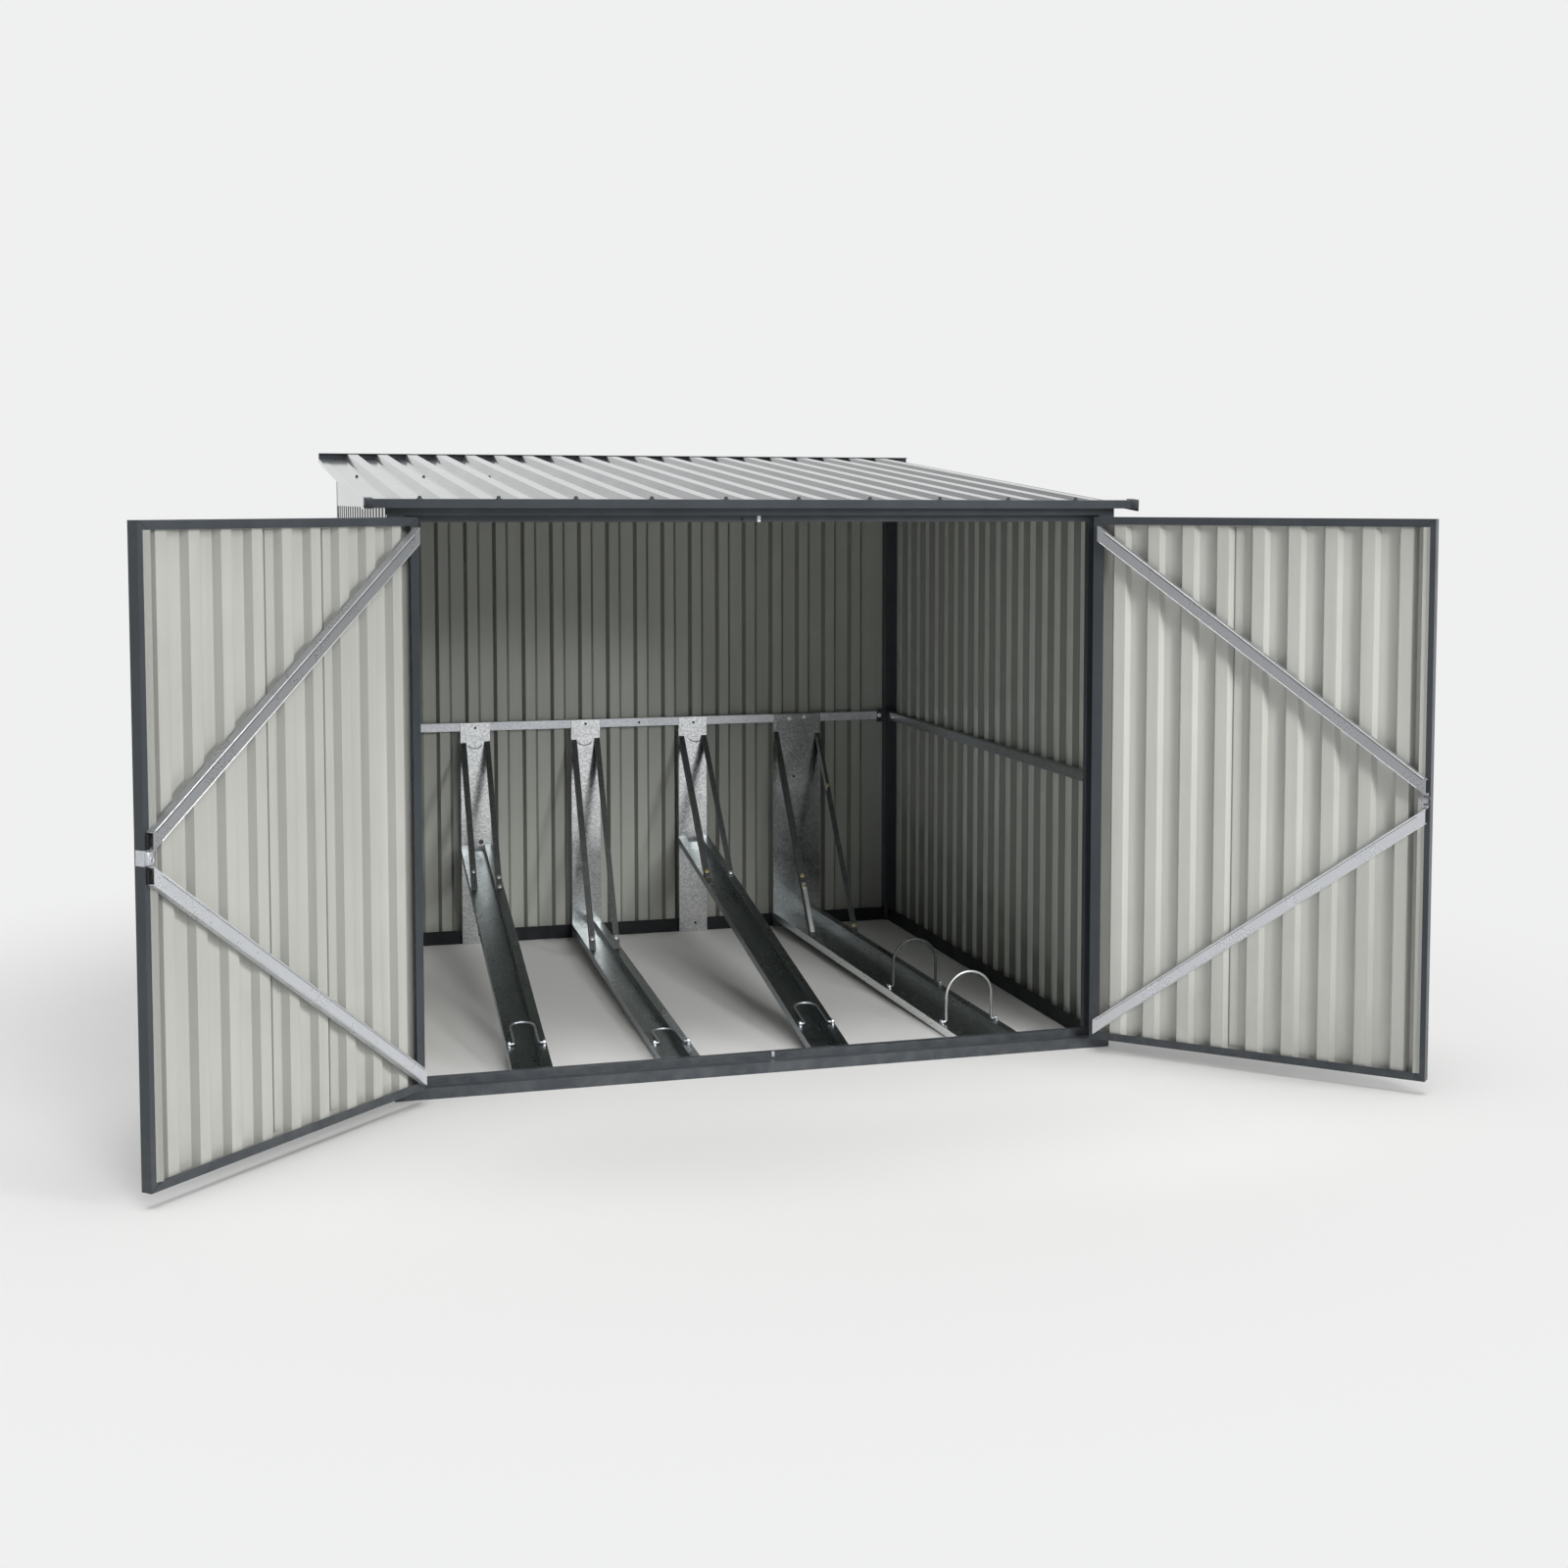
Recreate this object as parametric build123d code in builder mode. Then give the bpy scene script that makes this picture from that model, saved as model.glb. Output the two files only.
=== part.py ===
from build123d import *
from math import atan2, cos, hypot, radians, sin, tan
import os

# A sheet-steel bike shelter with a lean-to roof, two hinged doors and four wheel racks.
# X runs along the front, +Y to the rear, +Z up. The origin is the middle of the sill's underside.

# Overall sizes
width = 2070
depth = 2060
header_top = 1590
roof_slope = 4.3

# Front frame: sill, header and posts share one rebated section
frame_depth = 60
frame_wall = 2
rebate = 35
post_nose = 46
post_lip = 19
sill_nose = 30
sill_lip = 18
header_nose = 24
header_lip = 19

# Rear corners, base rails and top rails
rear_post = 48
base_rail_width = 36
base_rail_height = 49
rail_wall = 2
top_rail_depth = 30
top_rail_height = 40
gable_foot = 34
gable_drop = 6

# Ribbed sheets
sheet_thickness = 1.5
rib_depth = 18
rib_pitch = 103
rib_crest = 35
rib_flank = 11

# Roof edges
front_overhang = 37
rear_overhang = 33
side_overhang = 58
trim_wall = 2
eave_cap = 12
eave_soffit = 33
verge_cap = 18
verge_drip = 10

# Rails at mid height
rack_rail_depth = 25
rack_rail_height = 30
rack_rail_top = 805

# Wheel racks, from left to right
rack_spacing = 400
rack_shift = 35
rack_turns = [-2.5, -1.8, -0.6, 2.2]
high_channel = 335
low_channel = 32
channel_rises = [high_channel, low_channel, high_channel, low_channel]
narrow_room = 58
wide_room = 134
tyre_rooms = [narrow_room, narrow_room, narrow_room, wide_room]
plate_thickness = 3
plate_setback = 4
head_thickness = 3
head_drop = 8
head_foot = 25
head_step = 7
channel_wall = 2
lip_width = 28
lip_height = 25
channel_front = 109
strut_leg = 20
strut_wall = 2.5
strut_reach = 450
strut_top = 735
strut_edge = 1

# Bails, folding hoops of round bar on the channel lips
bail_bar = 4
bail_sides = 6
bail_height = 150
bail_bend = 8
bail_seat = 6
bail_play = 0.3
bail_stub = 17
bail_inset = 8
eyelet_radius = 7
eyelet_sides = 8
eyelet_length = 9
eyelet_gap = 2
bail_setback = 180
second_bail_setback = 645

# Doors
door_opening = 134
door_gap = 5
door_foot = 8
leaf_depth = 30
stile = 32
rail = 22
leaf_wall = 2
brace_width = 35
brace_depth = 22
brace_wall = 2
brace_hinge_inset = 20
brace_free_inset = 8
brace_corner = 48
brace_foot = 40
brace_meeting = 804
brace_spread = 39
lock_width = 26
lock_height = 32
lock_depth = 10

# Hinges
hinge_standoff = 7
hinge_rows = 3
hinge_low = 250
hinge_step = 550
knuckle_radius = 6
knuckle_length = 40
knuckle_gap = 1
pin_radius = 3.5
pin_sides = 8
pin_length = 34
pin_play = 0.25
hinge_leaf = 30
hinge_leaf_wall = 3

# One length that every cut runs past its faces
overrun = 40

# Derived places
front = -frame_depth / 2
rear = front + depth
half = width / 2
frame_back = front + frame_depth
stop_face = front + rebate
sill_top = sill_nose + sill_lip
nose_bottom = header_top - header_nose
lip_bottom = nose_bottom - header_lip
roof_rise = tan(radians(roof_slope))
sheet_depth = rib_depth + sheet_thickness
sheet_face = rail_wall + sheet_depth
post_front = rear - rear_post
rib_valley = rib_pitch - rib_crest - 2 * rib_flank
roof_half = half + side_overhang
plate_front = rear - sheet_face - rack_rail_depth - plate_thickness
hinge_x = half - post_nose - door_gap
hinge_y = front - hinge_standoff
door_bottom = sill_nose + door_foot
door_top = nose_bottom - door_gap
leaf_width = hinge_x - door_gap / 2
leaf_back = hinge_standoff + leaf_depth

os.makedirs("parts", exist_ok=True)


def save(piece, name):
    piece.part.label = name
    export_step(piece.part, f"parts/{name}.step")


def placed(location, plane):
    return Plane(location * plane.location)


def roof_under(y):
    return header_top + (y - front) * roof_rise


def ribbed_points(length):
    # The sheet's section: flats on v = 0 with crests raised towards +v, centred along the length
    count = int((length - rib_valley) // rib_pitch)
    margin = (length - count * rib_pitch + rib_valley) / 2
    path = [(0, 0)]
    for index in range(count):
        start = margin + index * rib_pitch
        path.append((start, 0))
        path.append((start + rib_flank, rib_depth))
        path.append((start + rib_flank + rib_crest, rib_depth))
        path.append((start + 2 * rib_flank + rib_crest, 0))
    path.append((length, 0))
    back = [(u, v + sheet_thickness) for u, v in reversed(path)]
    return path + back


def section(points):
    Polygon(*points, align=None)


def mirrored(piece, name):
    with BuildPart() as twin:
        mirror(piece.part, about=Plane.YZ)
    save(twin, name)


roof_plane = Plane(
    origin=(0, front, header_top),
    x_dir=(1, 0, 0),
    z_dir=(0, -sin(radians(roof_slope)), cos(radians(roof_slope))),
)

# Front sill and header: hollow rebated tubes across the whole front
with BuildPart() as front_sill:
    with BuildSketch(Plane.YZ):
        section([
            (front, 0),
            (frame_back, 0),
            (frame_back, sill_top),
            (stop_face, sill_top),
            (stop_face, sill_nose),
            (front, sill_nose),
        ])
        offset(amount=-frame_wall, kind=Kind.INTERSECTION, mode=Mode.SUBTRACT)
    extrude(amount=half, both=True)
save(front_sill, "front_sill")

with BuildPart() as front_header:
    with BuildSketch(Plane.YZ):
        section([
            (front, nose_bottom),
            (stop_face, nose_bottom),
            (stop_face, lip_bottom),
            (frame_back, lip_bottom),
            (frame_back, roof_under(frame_back)),
            (front, header_top),
        ])
        offset(amount=-frame_wall, kind=Kind.INTERSECTION, mode=Mode.SUBTRACT)
    extrude(amount=half, both=True)
save(front_header, "front_header")

# Front posts with the post halves of the hinges: leaf, knuckle and pin
hinge_heights = [hinge_low + index * hinge_step for index in range(hinge_rows)]
with BuildPart() as front_right_post:
    with BuildSketch(Plane.XY.offset(sill_nose)):
        section([
            (half, front),
            (half, frame_back),
            (half - post_nose - post_lip, frame_back),
            (half - post_nose - post_lip, stop_face),
            (half - post_nose, stop_face),
            (half - post_nose, front),
        ])
        offset(amount=-frame_wall, kind=Kind.INTERSECTION, mode=Mode.SUBTRACT)
    extrude(amount=nose_bottom - sill_nose)
    with BuildSketch(Plane.XY.offset(lip_bottom)):
        with Locations((half, stop_face)):
            Rectangle(width, frame_depth, align=(Align.CENTER, Align.MIN))
    extrude(amount=header_lip, mode=Mode.SUBTRACT)
    with BuildSketch(Plane.XY.offset(sill_nose)):
        with Locations((half, stop_face)):
            Rectangle(width, frame_depth, align=(Align.CENTER, Align.MIN))
    extrude(amount=sill_lip, mode=Mode.SUBTRACT)
    for height in hinge_heights:
        with BuildSketch(Plane.XY.offset(height - knuckle_length)):
            with Locations((hinge_x, hinge_y)):
                Circle(knuckle_radius)
            with Locations((hinge_x, front)):
                Rectangle(hinge_leaf, hinge_leaf_wall, align=(Align.MIN, Align.MAX))
        extrude(amount=knuckle_length - knuckle_gap / 2)
        with BuildSketch(Plane.XY.offset(height - knuckle_length)):
            with Locations((hinge_x, hinge_y)):
                RegularPolygon(pin_radius, pin_sides)
        extrude(amount=knuckle_length + pin_length)
save(front_right_post, "front_right_post")
mirrored(front_right_post, "front_left_post")

# Rear corner posts: square tubes cut to the roof's slope
with BuildPart() as rear_right_post:
    with BuildSketch(Plane.XY):
        with Locations((half, rear)):
            Rectangle(rear_post, rear_post, align=(Align.MAX, Align.MAX))
        offset(amount=-rail_wall, kind=Kind.INTERSECTION, mode=Mode.SUBTRACT)
    extrude(amount=roof_under(rear))
    split(bisect_by=roof_plane, keep=Keep.BOTTOM)
save(rear_right_post, "rear_right_post")
mirrored(rear_right_post, "rear_left_post")

# Base rails: upright channels that the wall sheets stand in
with BuildPart() as right_base_rail:
    with BuildSketch(Plane.XZ.offset(-frame_back)):
        with Locations((half, 0)):
            Rectangle(base_rail_width, base_rail_height, align=(Align.MAX, Align.MIN))
        with Locations((half - rail_wall, rail_wall)):
            Rectangle(
                base_rail_width - 2 * rail_wall,
                base_rail_height,
                align=(Align.MAX, Align.MIN),
                mode=Mode.SUBTRACT,
            )
    extrude(amount=-(post_front - frame_back))
save(right_base_rail, "right_base_rail")
mirrored(right_base_rail, "left_base_rail")

with BuildPart() as rear_base_rail:
    with BuildSketch(Plane.YZ):
        with Locations((rear, 0)):
            Rectangle(base_rail_width, base_rail_height, align=(Align.MAX, Align.MIN))
        with Locations((rear - rail_wall, rail_wall)):
            Rectangle(
                base_rail_width - 2 * rail_wall,
                base_rail_height,
                align=(Align.MAX, Align.MIN),
                mode=Mode.SUBTRACT,
            )
    extrude(amount=half - rear_post, both=True)
save(rear_base_rail, "rear_base_rail")

# Rear top rail: a tube under the roof, against the rear sheet's crests
top_rail_back = rear - sheet_face
top_rail_front = top_rail_back - top_rail_depth
top_rail_bottom = roof_under(top_rail_front) - top_rail_height
with BuildPart() as rear_top_rail:
    with BuildSketch(Plane.YZ):
        section([
            (top_rail_front, top_rail_bottom),
            (top_rail_back, top_rail_bottom),
            (top_rail_back, roof_under(top_rail_back)),
            (top_rail_front, roof_under(top_rail_front)),
        ])
        offset(amount=-rail_wall, kind=Kind.INTERSECTION, mode=Mode.SUBTRACT)
    extrude(amount=half - rear_post, both=True)
save(rear_top_rail, "rear_top_rail")

# Wall sheets: trapezoidal ribs with their crests to the inside
wall_top = header_top - gable_drop
with BuildPart() as right_wall_sheet:
    with BuildSketch(
        Plane(origin=(half - rail_wall, frame_back, rail_wall), x_dir=(0, 1, 0), z_dir=(0, 0, 1))
    ):
        section(ribbed_points(post_front - frame_back))
    extrude(amount=wall_top - rail_wall)
save(right_wall_sheet, "right_wall_sheet")
mirrored(right_wall_sheet, "left_wall_sheet")

with BuildPart() as rear_wall_sheet:
    with BuildSketch(
        Plane(origin=(half - rear_post, rear - rail_wall, rail_wall), x_dir=(-1, 0, 0), z_dir=(0, 0, 1))
    ):
        section(ribbed_points(width - 2 * rear_post))
    extrude(amount=roof_under(rear) - rail_wall)
    split(bisect_by=roof_plane, keep=Keep.BOTTOM)
save(rear_wall_sheet, "rear_wall_sheet")

# Gable panels: folded flat sheets between the wall's top and the sloping roof
with BuildPart() as right_gable_panel:
    with BuildSketch(Plane.YZ.offset(half - rail_wall)):
        section([
            (frame_back, wall_top),
            (post_front, wall_top),
            (post_front, roof_under(post_front)),
            (frame_back, roof_under(frame_back)),
        ])
    extrude(amount=rail_wall)
    with BuildSketch(Plane.YZ.offset(half - base_rail_width)):
        section([
            (frame_back, roof_under(frame_back) - rail_wall),
            (post_front, roof_under(post_front) - rail_wall),
            (post_front, roof_under(post_front)),
            (frame_back, roof_under(frame_back)),
        ])
    extrude(amount=base_rail_width)
    with BuildSketch(Plane.XZ.offset(-frame_back)):
        with Locations((half, wall_top)):
            Rectangle(sheet_face + rail_wall, rail_wall, align=(Align.MAX, Align.MIN))
        with Locations((half - sheet_face, wall_top + rail_wall)):
            Rectangle(rail_wall, gable_foot, align=(Align.MAX, Align.MAX))
    extrude(amount=-(post_front - frame_back))
save(right_gable_panel, "right_gable_panel")
mirrored(right_gable_panel, "left_gable_panel")

# Roof sheet: ribs run from the eave up to the rear
slope_length = (depth + front_overhang + rear_overhang) / cos(radians(roof_slope))
eave_start = roof_plane.origin - roof_plane.y_dir * (front_overhang / cos(radians(roof_slope)))
roof_section = Plane(origin=eave_start, x_dir=(1, 0, 0), z_dir=-roof_plane.y_dir)
with BuildPart() as roof_sheet:
    with BuildSketch(roof_section):
        with Locations((-roof_half, 0)):
            section(ribbed_points(2 * roof_half))
    extrude(amount=-slope_length)
save(roof_sheet, "roof_sheet")


def edge_trim(name, start, out, soffit):
    # A folded channel that closes the rib ends; out is +1 towards the rear and -1 towards the front
    with BuildPart() as trim:
        with BuildSketch(Plane(origin=start, x_dir=roof_plane.y_dir * out, z_dir=(out, 0, 0))):
            section([
                (-soffit, -trim_wall),
                (trim_wall, -trim_wall),
                (trim_wall, sheet_depth + trim_wall),
                (-eave_cap, sheet_depth + trim_wall),
                (-eave_cap, sheet_depth),
                (0, sheet_depth),
                (0, 0),
                (-soffit, 0),
            ])
        extrude(amount=roof_half, both=True)
    save(trim, name)


rear_edge = eave_start + roof_plane.y_dir * slope_length
edge_trim("eave_trim", eave_start, -1, eave_soffit)
edge_trim("rear_roof_trim", rear_edge, 1, eave_cap)

# Verge trims: drip flashings along the roof's sides
with BuildPart() as right_verge_trim:
    with BuildSketch(roof_section):
        with Locations((roof_half, sheet_thickness)):
            Rectangle(verge_cap, trim_wall, align=(Align.MAX, Align.MIN))
    extrude(amount=-slope_length)
    with BuildSketch(roof_section.offset(trim_wall)):
        with Locations((roof_half, sheet_thickness + trim_wall)):
            Rectangle(trim_wall, sheet_thickness + trim_wall + verge_drip, align=(Align.MIN, Align.MAX))
    extrude(amount=-slope_length - 2 * trim_wall)
save(right_verge_trim, "right_verge_trim")
mirrored(right_verge_trim, "left_verge_trim")

# Rails at mid height: channels with the web to the inside
rack_rail_bottom = rack_rail_top - rack_rail_height
with BuildPart() as rear_rack_rail:
    with BuildSketch(Plane.YZ):
        with Locations((rear - sheet_face, rack_rail_bottom)):
            Rectangle(rack_rail_depth, rack_rail_height, align=(Align.MAX, Align.MIN))
        with Locations((rear - sheet_face, rack_rail_bottom + rail_wall)):
            Rectangle(
                rack_rail_depth - rail_wall,
                rack_rail_height - 2 * rail_wall,
                align=(Align.MAX, Align.MIN),
                mode=Mode.SUBTRACT,
            )
    extrude(amount=half - rear_post, both=True)
save(rear_rack_rail, "rear_rack_rail")

with BuildPart() as right_side_rail:
    with BuildSketch(Plane.XZ.offset(-frame_back)):
        with Locations((half - sheet_face, rack_rail_bottom)):
            Rectangle(rack_rail_depth, rack_rail_height, align=(Align.MAX, Align.MIN))
        with Locations((half - sheet_face, rack_rail_bottom + rail_wall)):
            Rectangle(
                rack_rail_depth - rail_wall,
                rack_rail_height - 2 * rail_wall,
                align=(Align.MAX, Align.MIN),
                mode=Mode.SUBTRACT,
            )
    extrude(amount=-(post_front - frame_back))
save(right_side_rail, "right_side_rail")
mirrored(right_side_rail, "left_side_rail")

# Wheel racks. Each has its own frame: origin on the floor at the plate's front face, -Y along the channel
channel_run = plate_front - front - channel_front


def rack_place(number):
    x = rack_shift + (number - (len(rack_turns) - 1) / 2) * rack_spacing
    return Location((x, plate_front, 0), (0, 0, rack_turns[number]))


def channel_frame(number):
    # Origin at the underside where the channel meets the plate; z along the channel to its front end
    fall = atan2(channel_rises[number], channel_run)
    return Plane(
        origin=(0, 0, channel_rises[number]),
        x_dir=(1, 0, 0),
        z_dir=(0, -cos(fall), -sin(fall)),
    )


def bail_axis(number, setback):
    # Middle of a bail's turning axis, in the rack's frame
    frame = channel_frame(number)
    reach = hypot(channel_run, channel_rises[number]) - setback
    return frame.origin + frame.z_dir * reach + frame.y_dir * (lip_height + bail_seat)


def bail_half(number):
    return (tyre_rooms[number] + lip_width) / 2 - bail_inset


def bail_setbacks(number):
    if tyre_rooms[number] == wide_room:
        return [bail_setback, second_bail_setback]
    return [bail_setback]


def make_rack(number):
    name = f"rack_{number + 1}"
    place = rack_place(number)
    room = tyre_rooms[number]
    channel_width = room + 2 * lip_width
    plate_width = channel_width - 2 * plate_setback
    frame = channel_frame(number)
    wall_face = Plane(origin=(0, plate_front, 0), x_dir=(1, 0, 0), z_dir=(0, -1, 0))

    # A wall plate with a stepped head where it is bolted over the rail
    with BuildPart() as plate:
        with BuildSketch(wall_face):
            with Locations((place.position.X, 0)):
                Rectangle(plate_width, rack_rail_top, align=(Align.CENTER, Align.MIN))
        extrude(amount=-plate_thickness)
        with BuildSketch(wall_face):
            with Locations((place.position.X, rack_rail_top)):
                Rectangle(plate_width, rack_rail_height + head_drop, align=(Align.CENTER, Align.MAX))
                Rectangle(
                    plate_width - 2 * head_step,
                    rack_rail_height + head_foot,
                    align=(Align.CENTER, Align.MAX),
                )
        extrude(amount=head_thickness)
    save(plate, f"{name}_plate")

    # A folded trough with hollow lips, cut off square to the wall where it meets the plate
    with BuildPart() as channel:
        with BuildSketch(placed(place, frame.offset(-overrun))):
            Rectangle(channel_width, lip_height, align=(Align.CENTER, Align.MIN))
            with Locations((0, channel_wall)):
                Rectangle(room, lip_height, align=(Align.CENTER, Align.MIN), mode=Mode.SUBTRACT)
            with Locations(
                (-(room + lip_width) / 2, channel_wall),
                ((room + lip_width) / 2, channel_wall),
            ):
                Rectangle(
                    lip_width - 2 * channel_wall,
                    lip_height - 2 * channel_wall,
                    align=(Align.CENTER, Align.MIN),
                    mode=Mode.SUBTRACT,
                )
        extrude(amount=overrun + hypot(channel_run, channel_rises[number]))
        split(bisect_by=wall_face, keep=Keep.TOP)
        for setback in bail_setbacks(number):
            middle = bail_axis(number, setback)
            for side in (-1, 1):
                eyelet_start = Vector(side * (bail_half(number) + bail_bend + eyelet_gap), 0, 0)
                eyelet = Plane(origin=middle + eyelet_start, x_dir=frame.y_dir, z_dir=(side, 0, 0))
                with BuildSketch(placed(place, eyelet)):
                    RegularPolygon(
                        eyelet_radius,
                        eyelet_sides,
                        major_radius=False,
                        rotation=180 / eyelet_sides,
                    )
                    Circle(bail_bar + bail_play, mode=Mode.SUBTRACT)
                extrude(amount=eyelet_length)
    save(channel, f"{name}_channel")

    # Struts: angle bars from the lips up to the plate
    lip_top = Plane(origin=frame.origin + frame.y_dir * lip_height, x_dir=(1, 0, 0), z_dir=frame.y_dir)
    fall = atan2(channel_rises[number], channel_run)
    foot = Vector(0, -strut_reach, lip_top.origin.Z - strut_reach * tan(fall))
    head = Vector(0, 0, strut_top)
    along = (head - foot).normalized()
    outer = plate_width / 2 - strut_edge
    with BuildPart() as struts:
        with BuildSketch(
            placed(place, Plane(origin=foot - along * overrun, x_dir=(1, 0, 0), z_dir=along))
        ):
            section([
                (outer - strut_leg, 0),
                (outer, 0),
                (outer, strut_leg),
                (outer - strut_wall, strut_leg),
                (outer - strut_wall, strut_wall),
                (outer - strut_leg, strut_wall),
            ])
            mirror(about=Plane.YZ)
        extrude(amount=(head - foot).length + 2 * overrun)
        split(bisect_by=wall_face, keep=Keep.TOP)
        split(bisect_by=placed(place, lip_top), keep=Keep.TOP)
    save(struts, f"{name}_struts")


def make_bail(number, setback, name, upright):
    # A hoop with its feet turned outwards; it lies back along the channel or stands up from it
    place = rack_place(number)
    frame = channel_frame(number)
    spread = bail_half(number)
    rise = frame.y_dir if upright else frame.z_dir * -1
    hoop = Plane(
        origin=bail_axis(number, setback),
        x_dir=(1, 0, 0),
        z_dir=Vector(1, 0, 0).cross(rise),
    )
    with BuildPart() as bail:
        with BuildLine(placed(place, hoop)):
            Polyline(
                (-spread - bail_stub, 0),
                (-spread - bail_bend, 0),
                (-spread, bail_bend),
                (-spread, bail_height - spread),
            )
            JernArc((-spread, bail_height - spread), (0, 1), spread, -180)
            Polyline(
                (spread, bail_height - spread),
                (spread, bail_bend),
                (spread + bail_bend, 0),
                (spread + bail_stub, 0),
            )
        start = placed(place, Plane(origin=hoop.origin, x_dir=hoop.z_dir, z_dir=(1, 0, 0)))
        with BuildSketch(start.offset(-spread - bail_stub)):
            RegularPolygon(bail_bar, bail_sides)
        sweep(transition=Transition.RIGHT)
    save(bail, name)


for rack in range(len(rack_turns)):
    make_rack(rack)
    for order, setback in enumerate(bail_setbacks(rack)):
        bail_name = f"rack_{rack + 1}_bail" if order == 0 else f"rack_{rack + 1}_second_bail"
        make_bail(rack, setback, bail_name, tyre_rooms[rack] == wide_room)

# Doors. The left leaf's frame: origin on the hinge axis, X along the leaf, +Y to its inner side
leaf_place = Location((-hinge_x, hinge_y, 0), (0, 0, -door_opening))


def leaf_plane(setback):
    return placed(leaf_place, Plane.XZ.offset(-setback))


with BuildPart() as left_door_frame:
    with BuildSketch(leaf_plane(hinge_standoff)):
        with Locations((0, door_bottom)):
            Rectangle(leaf_width, door_top - door_bottom, align=(Align.MIN, Align.MIN))
        with Locations((stile, door_bottom + rail)):
            Rectangle(
                leaf_width - 2 * stile,
                door_top - door_bottom - 2 * rail,
                align=(Align.MIN, Align.MIN),
                mode=Mode.SUBTRACT,
            )
    extrude(amount=-leaf_depth)
    with BuildSketch(leaf_plane(hinge_standoff + leaf_wall)):
        with Locations((leaf_wall, door_bottom + leaf_wall)):
            Rectangle(
                leaf_width - 2 * leaf_wall,
                door_top - door_bottom - 2 * leaf_wall,
                align=(Align.MIN, Align.MIN),
            )
    extrude(amount=-(leaf_depth - 2 * leaf_wall), mode=Mode.SUBTRACT)
    for height in hinge_heights:
        with BuildSketch(placed(leaf_place, Plane.XY.offset(height + knuckle_gap / 2))):
            Circle(knuckle_radius)
            with Locations((0, hinge_standoff)):
                Rectangle(hinge_leaf, hinge_leaf_wall, align=(Align.MIN, Align.MAX))
            Circle(pin_radius + pin_play, mode=Mode.SUBTRACT)
        extrude(amount=knuckle_length)
save(left_door_frame, "left_door_frame")
mirrored(left_door_frame, "right_door_frame")

with BuildPart() as left_door_sheet:
    with BuildSketch(
        placed(leaf_place, Plane.XY.offset(door_bottom + leaf_wall))
    ):
        with Locations((leaf_wall, hinge_standoff + leaf_wall)):
            section(ribbed_points(leaf_width - 2 * leaf_wall))
    extrude(amount=door_top - door_bottom - 2 * leaf_wall)
save(left_door_sheet, "left_door_sheet")
mirrored(left_door_sheet, "right_door_sheet")

# Braces: a pair of channels per leaf, from the hinge corners to the middle of the free edge
brace_start = brace_hinge_inset
brace_end = leaf_width - brace_free_inset
brace_lines = [
    ((brace_start, door_top - brace_corner), (brace_end, brace_meeting + brace_spread)),
    ((brace_start, door_bottom + brace_foot), (brace_end, brace_meeting - brace_spread)),
]


def brace_outline(line, thickness):
    (u_start, z_start), (u_end, z_end) = line
    upright_half = thickness / 2 * hypot(u_end - u_start, z_end - z_start) / (u_end - u_start)
    section([
        (u_start, z_start - upright_half),
        (u_end, z_end - upright_half),
        (u_end, z_end + upright_half),
        (u_start, z_start + upright_half),
    ])


with BuildPart() as left_door_braces:
    for line in brace_lines:
        with BuildSketch(leaf_plane(leaf_back)):
            brace_outline(line, brace_width)
        extrude(amount=-brace_depth)
        with BuildSketch(leaf_plane(leaf_back)):
            brace_outline(line, brace_width - 2 * brace_wall)
        extrude(amount=-(brace_depth - brace_wall), mode=Mode.SUBTRACT)
save(left_door_braces, "left_door_braces")
mirrored(left_door_braces, "right_door_braces")

# Lock case on the left leaf's free stile, between the brace ends
with BuildPart() as door_lock:
    with BuildSketch(leaf_plane(leaf_back)):
        with Locations((leaf_width, brace_meeting)):
            Rectangle(lock_width, lock_height, align=(Align.MAX, Align.CENTER))
    extrude(amount=-lock_depth)
save(door_lock, "door_lock")
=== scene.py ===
import math

import bmesh
import bpy
from mathutils import Matrix, Vector


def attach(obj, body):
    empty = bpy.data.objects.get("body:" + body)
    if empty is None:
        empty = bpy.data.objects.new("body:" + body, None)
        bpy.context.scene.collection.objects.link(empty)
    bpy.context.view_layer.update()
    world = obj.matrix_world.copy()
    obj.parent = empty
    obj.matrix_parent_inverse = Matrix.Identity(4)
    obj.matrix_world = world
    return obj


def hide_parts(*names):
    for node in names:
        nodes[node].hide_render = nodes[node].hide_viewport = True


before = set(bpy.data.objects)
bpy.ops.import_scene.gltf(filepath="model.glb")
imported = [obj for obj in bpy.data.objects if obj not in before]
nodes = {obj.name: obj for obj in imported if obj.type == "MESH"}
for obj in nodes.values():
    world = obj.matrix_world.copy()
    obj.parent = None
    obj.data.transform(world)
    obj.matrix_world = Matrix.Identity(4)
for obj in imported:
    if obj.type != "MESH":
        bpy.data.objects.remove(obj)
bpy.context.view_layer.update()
scene = bpy.context.scene
scene.view_settings.view_transform = "Standard"
print("frame loaded:", len(nodes), "nodes")

# camera where the photograph was taken from
viewpoint = {
    "place": (-1.5193, -5.8095, 1.6102),
    "yaw": -0.29877,
    "pitch": -0.07077,
    "roll": 0.00197,
    "lens": 49.5205,
    "sensor": 36,
    "shift": (-0.04776, -0.08408),
}
bpy.ops.object.camera_add(location=viewpoint["place"])
camera = bpy.context.object
camera.name = "viewCamera"
camera.rotation_euler = (
    Matrix.Rotation(viewpoint["yaw"], 3, "Z")
    @ Matrix.Rotation(math.pi / 2 + viewpoint["pitch"], 3, "X")
    @ Matrix.Rotation(viewpoint["roll"], 3, "Z")
).to_euler()
camera.data.lens = viewpoint["lens"]
camera.data.sensor_width = viewpoint["sensor"]
camera.data.shift_x, camera.data.shift_y = viewpoint["shift"]
camera.data.dof.use_dof = False
scene.camera = camera

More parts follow.
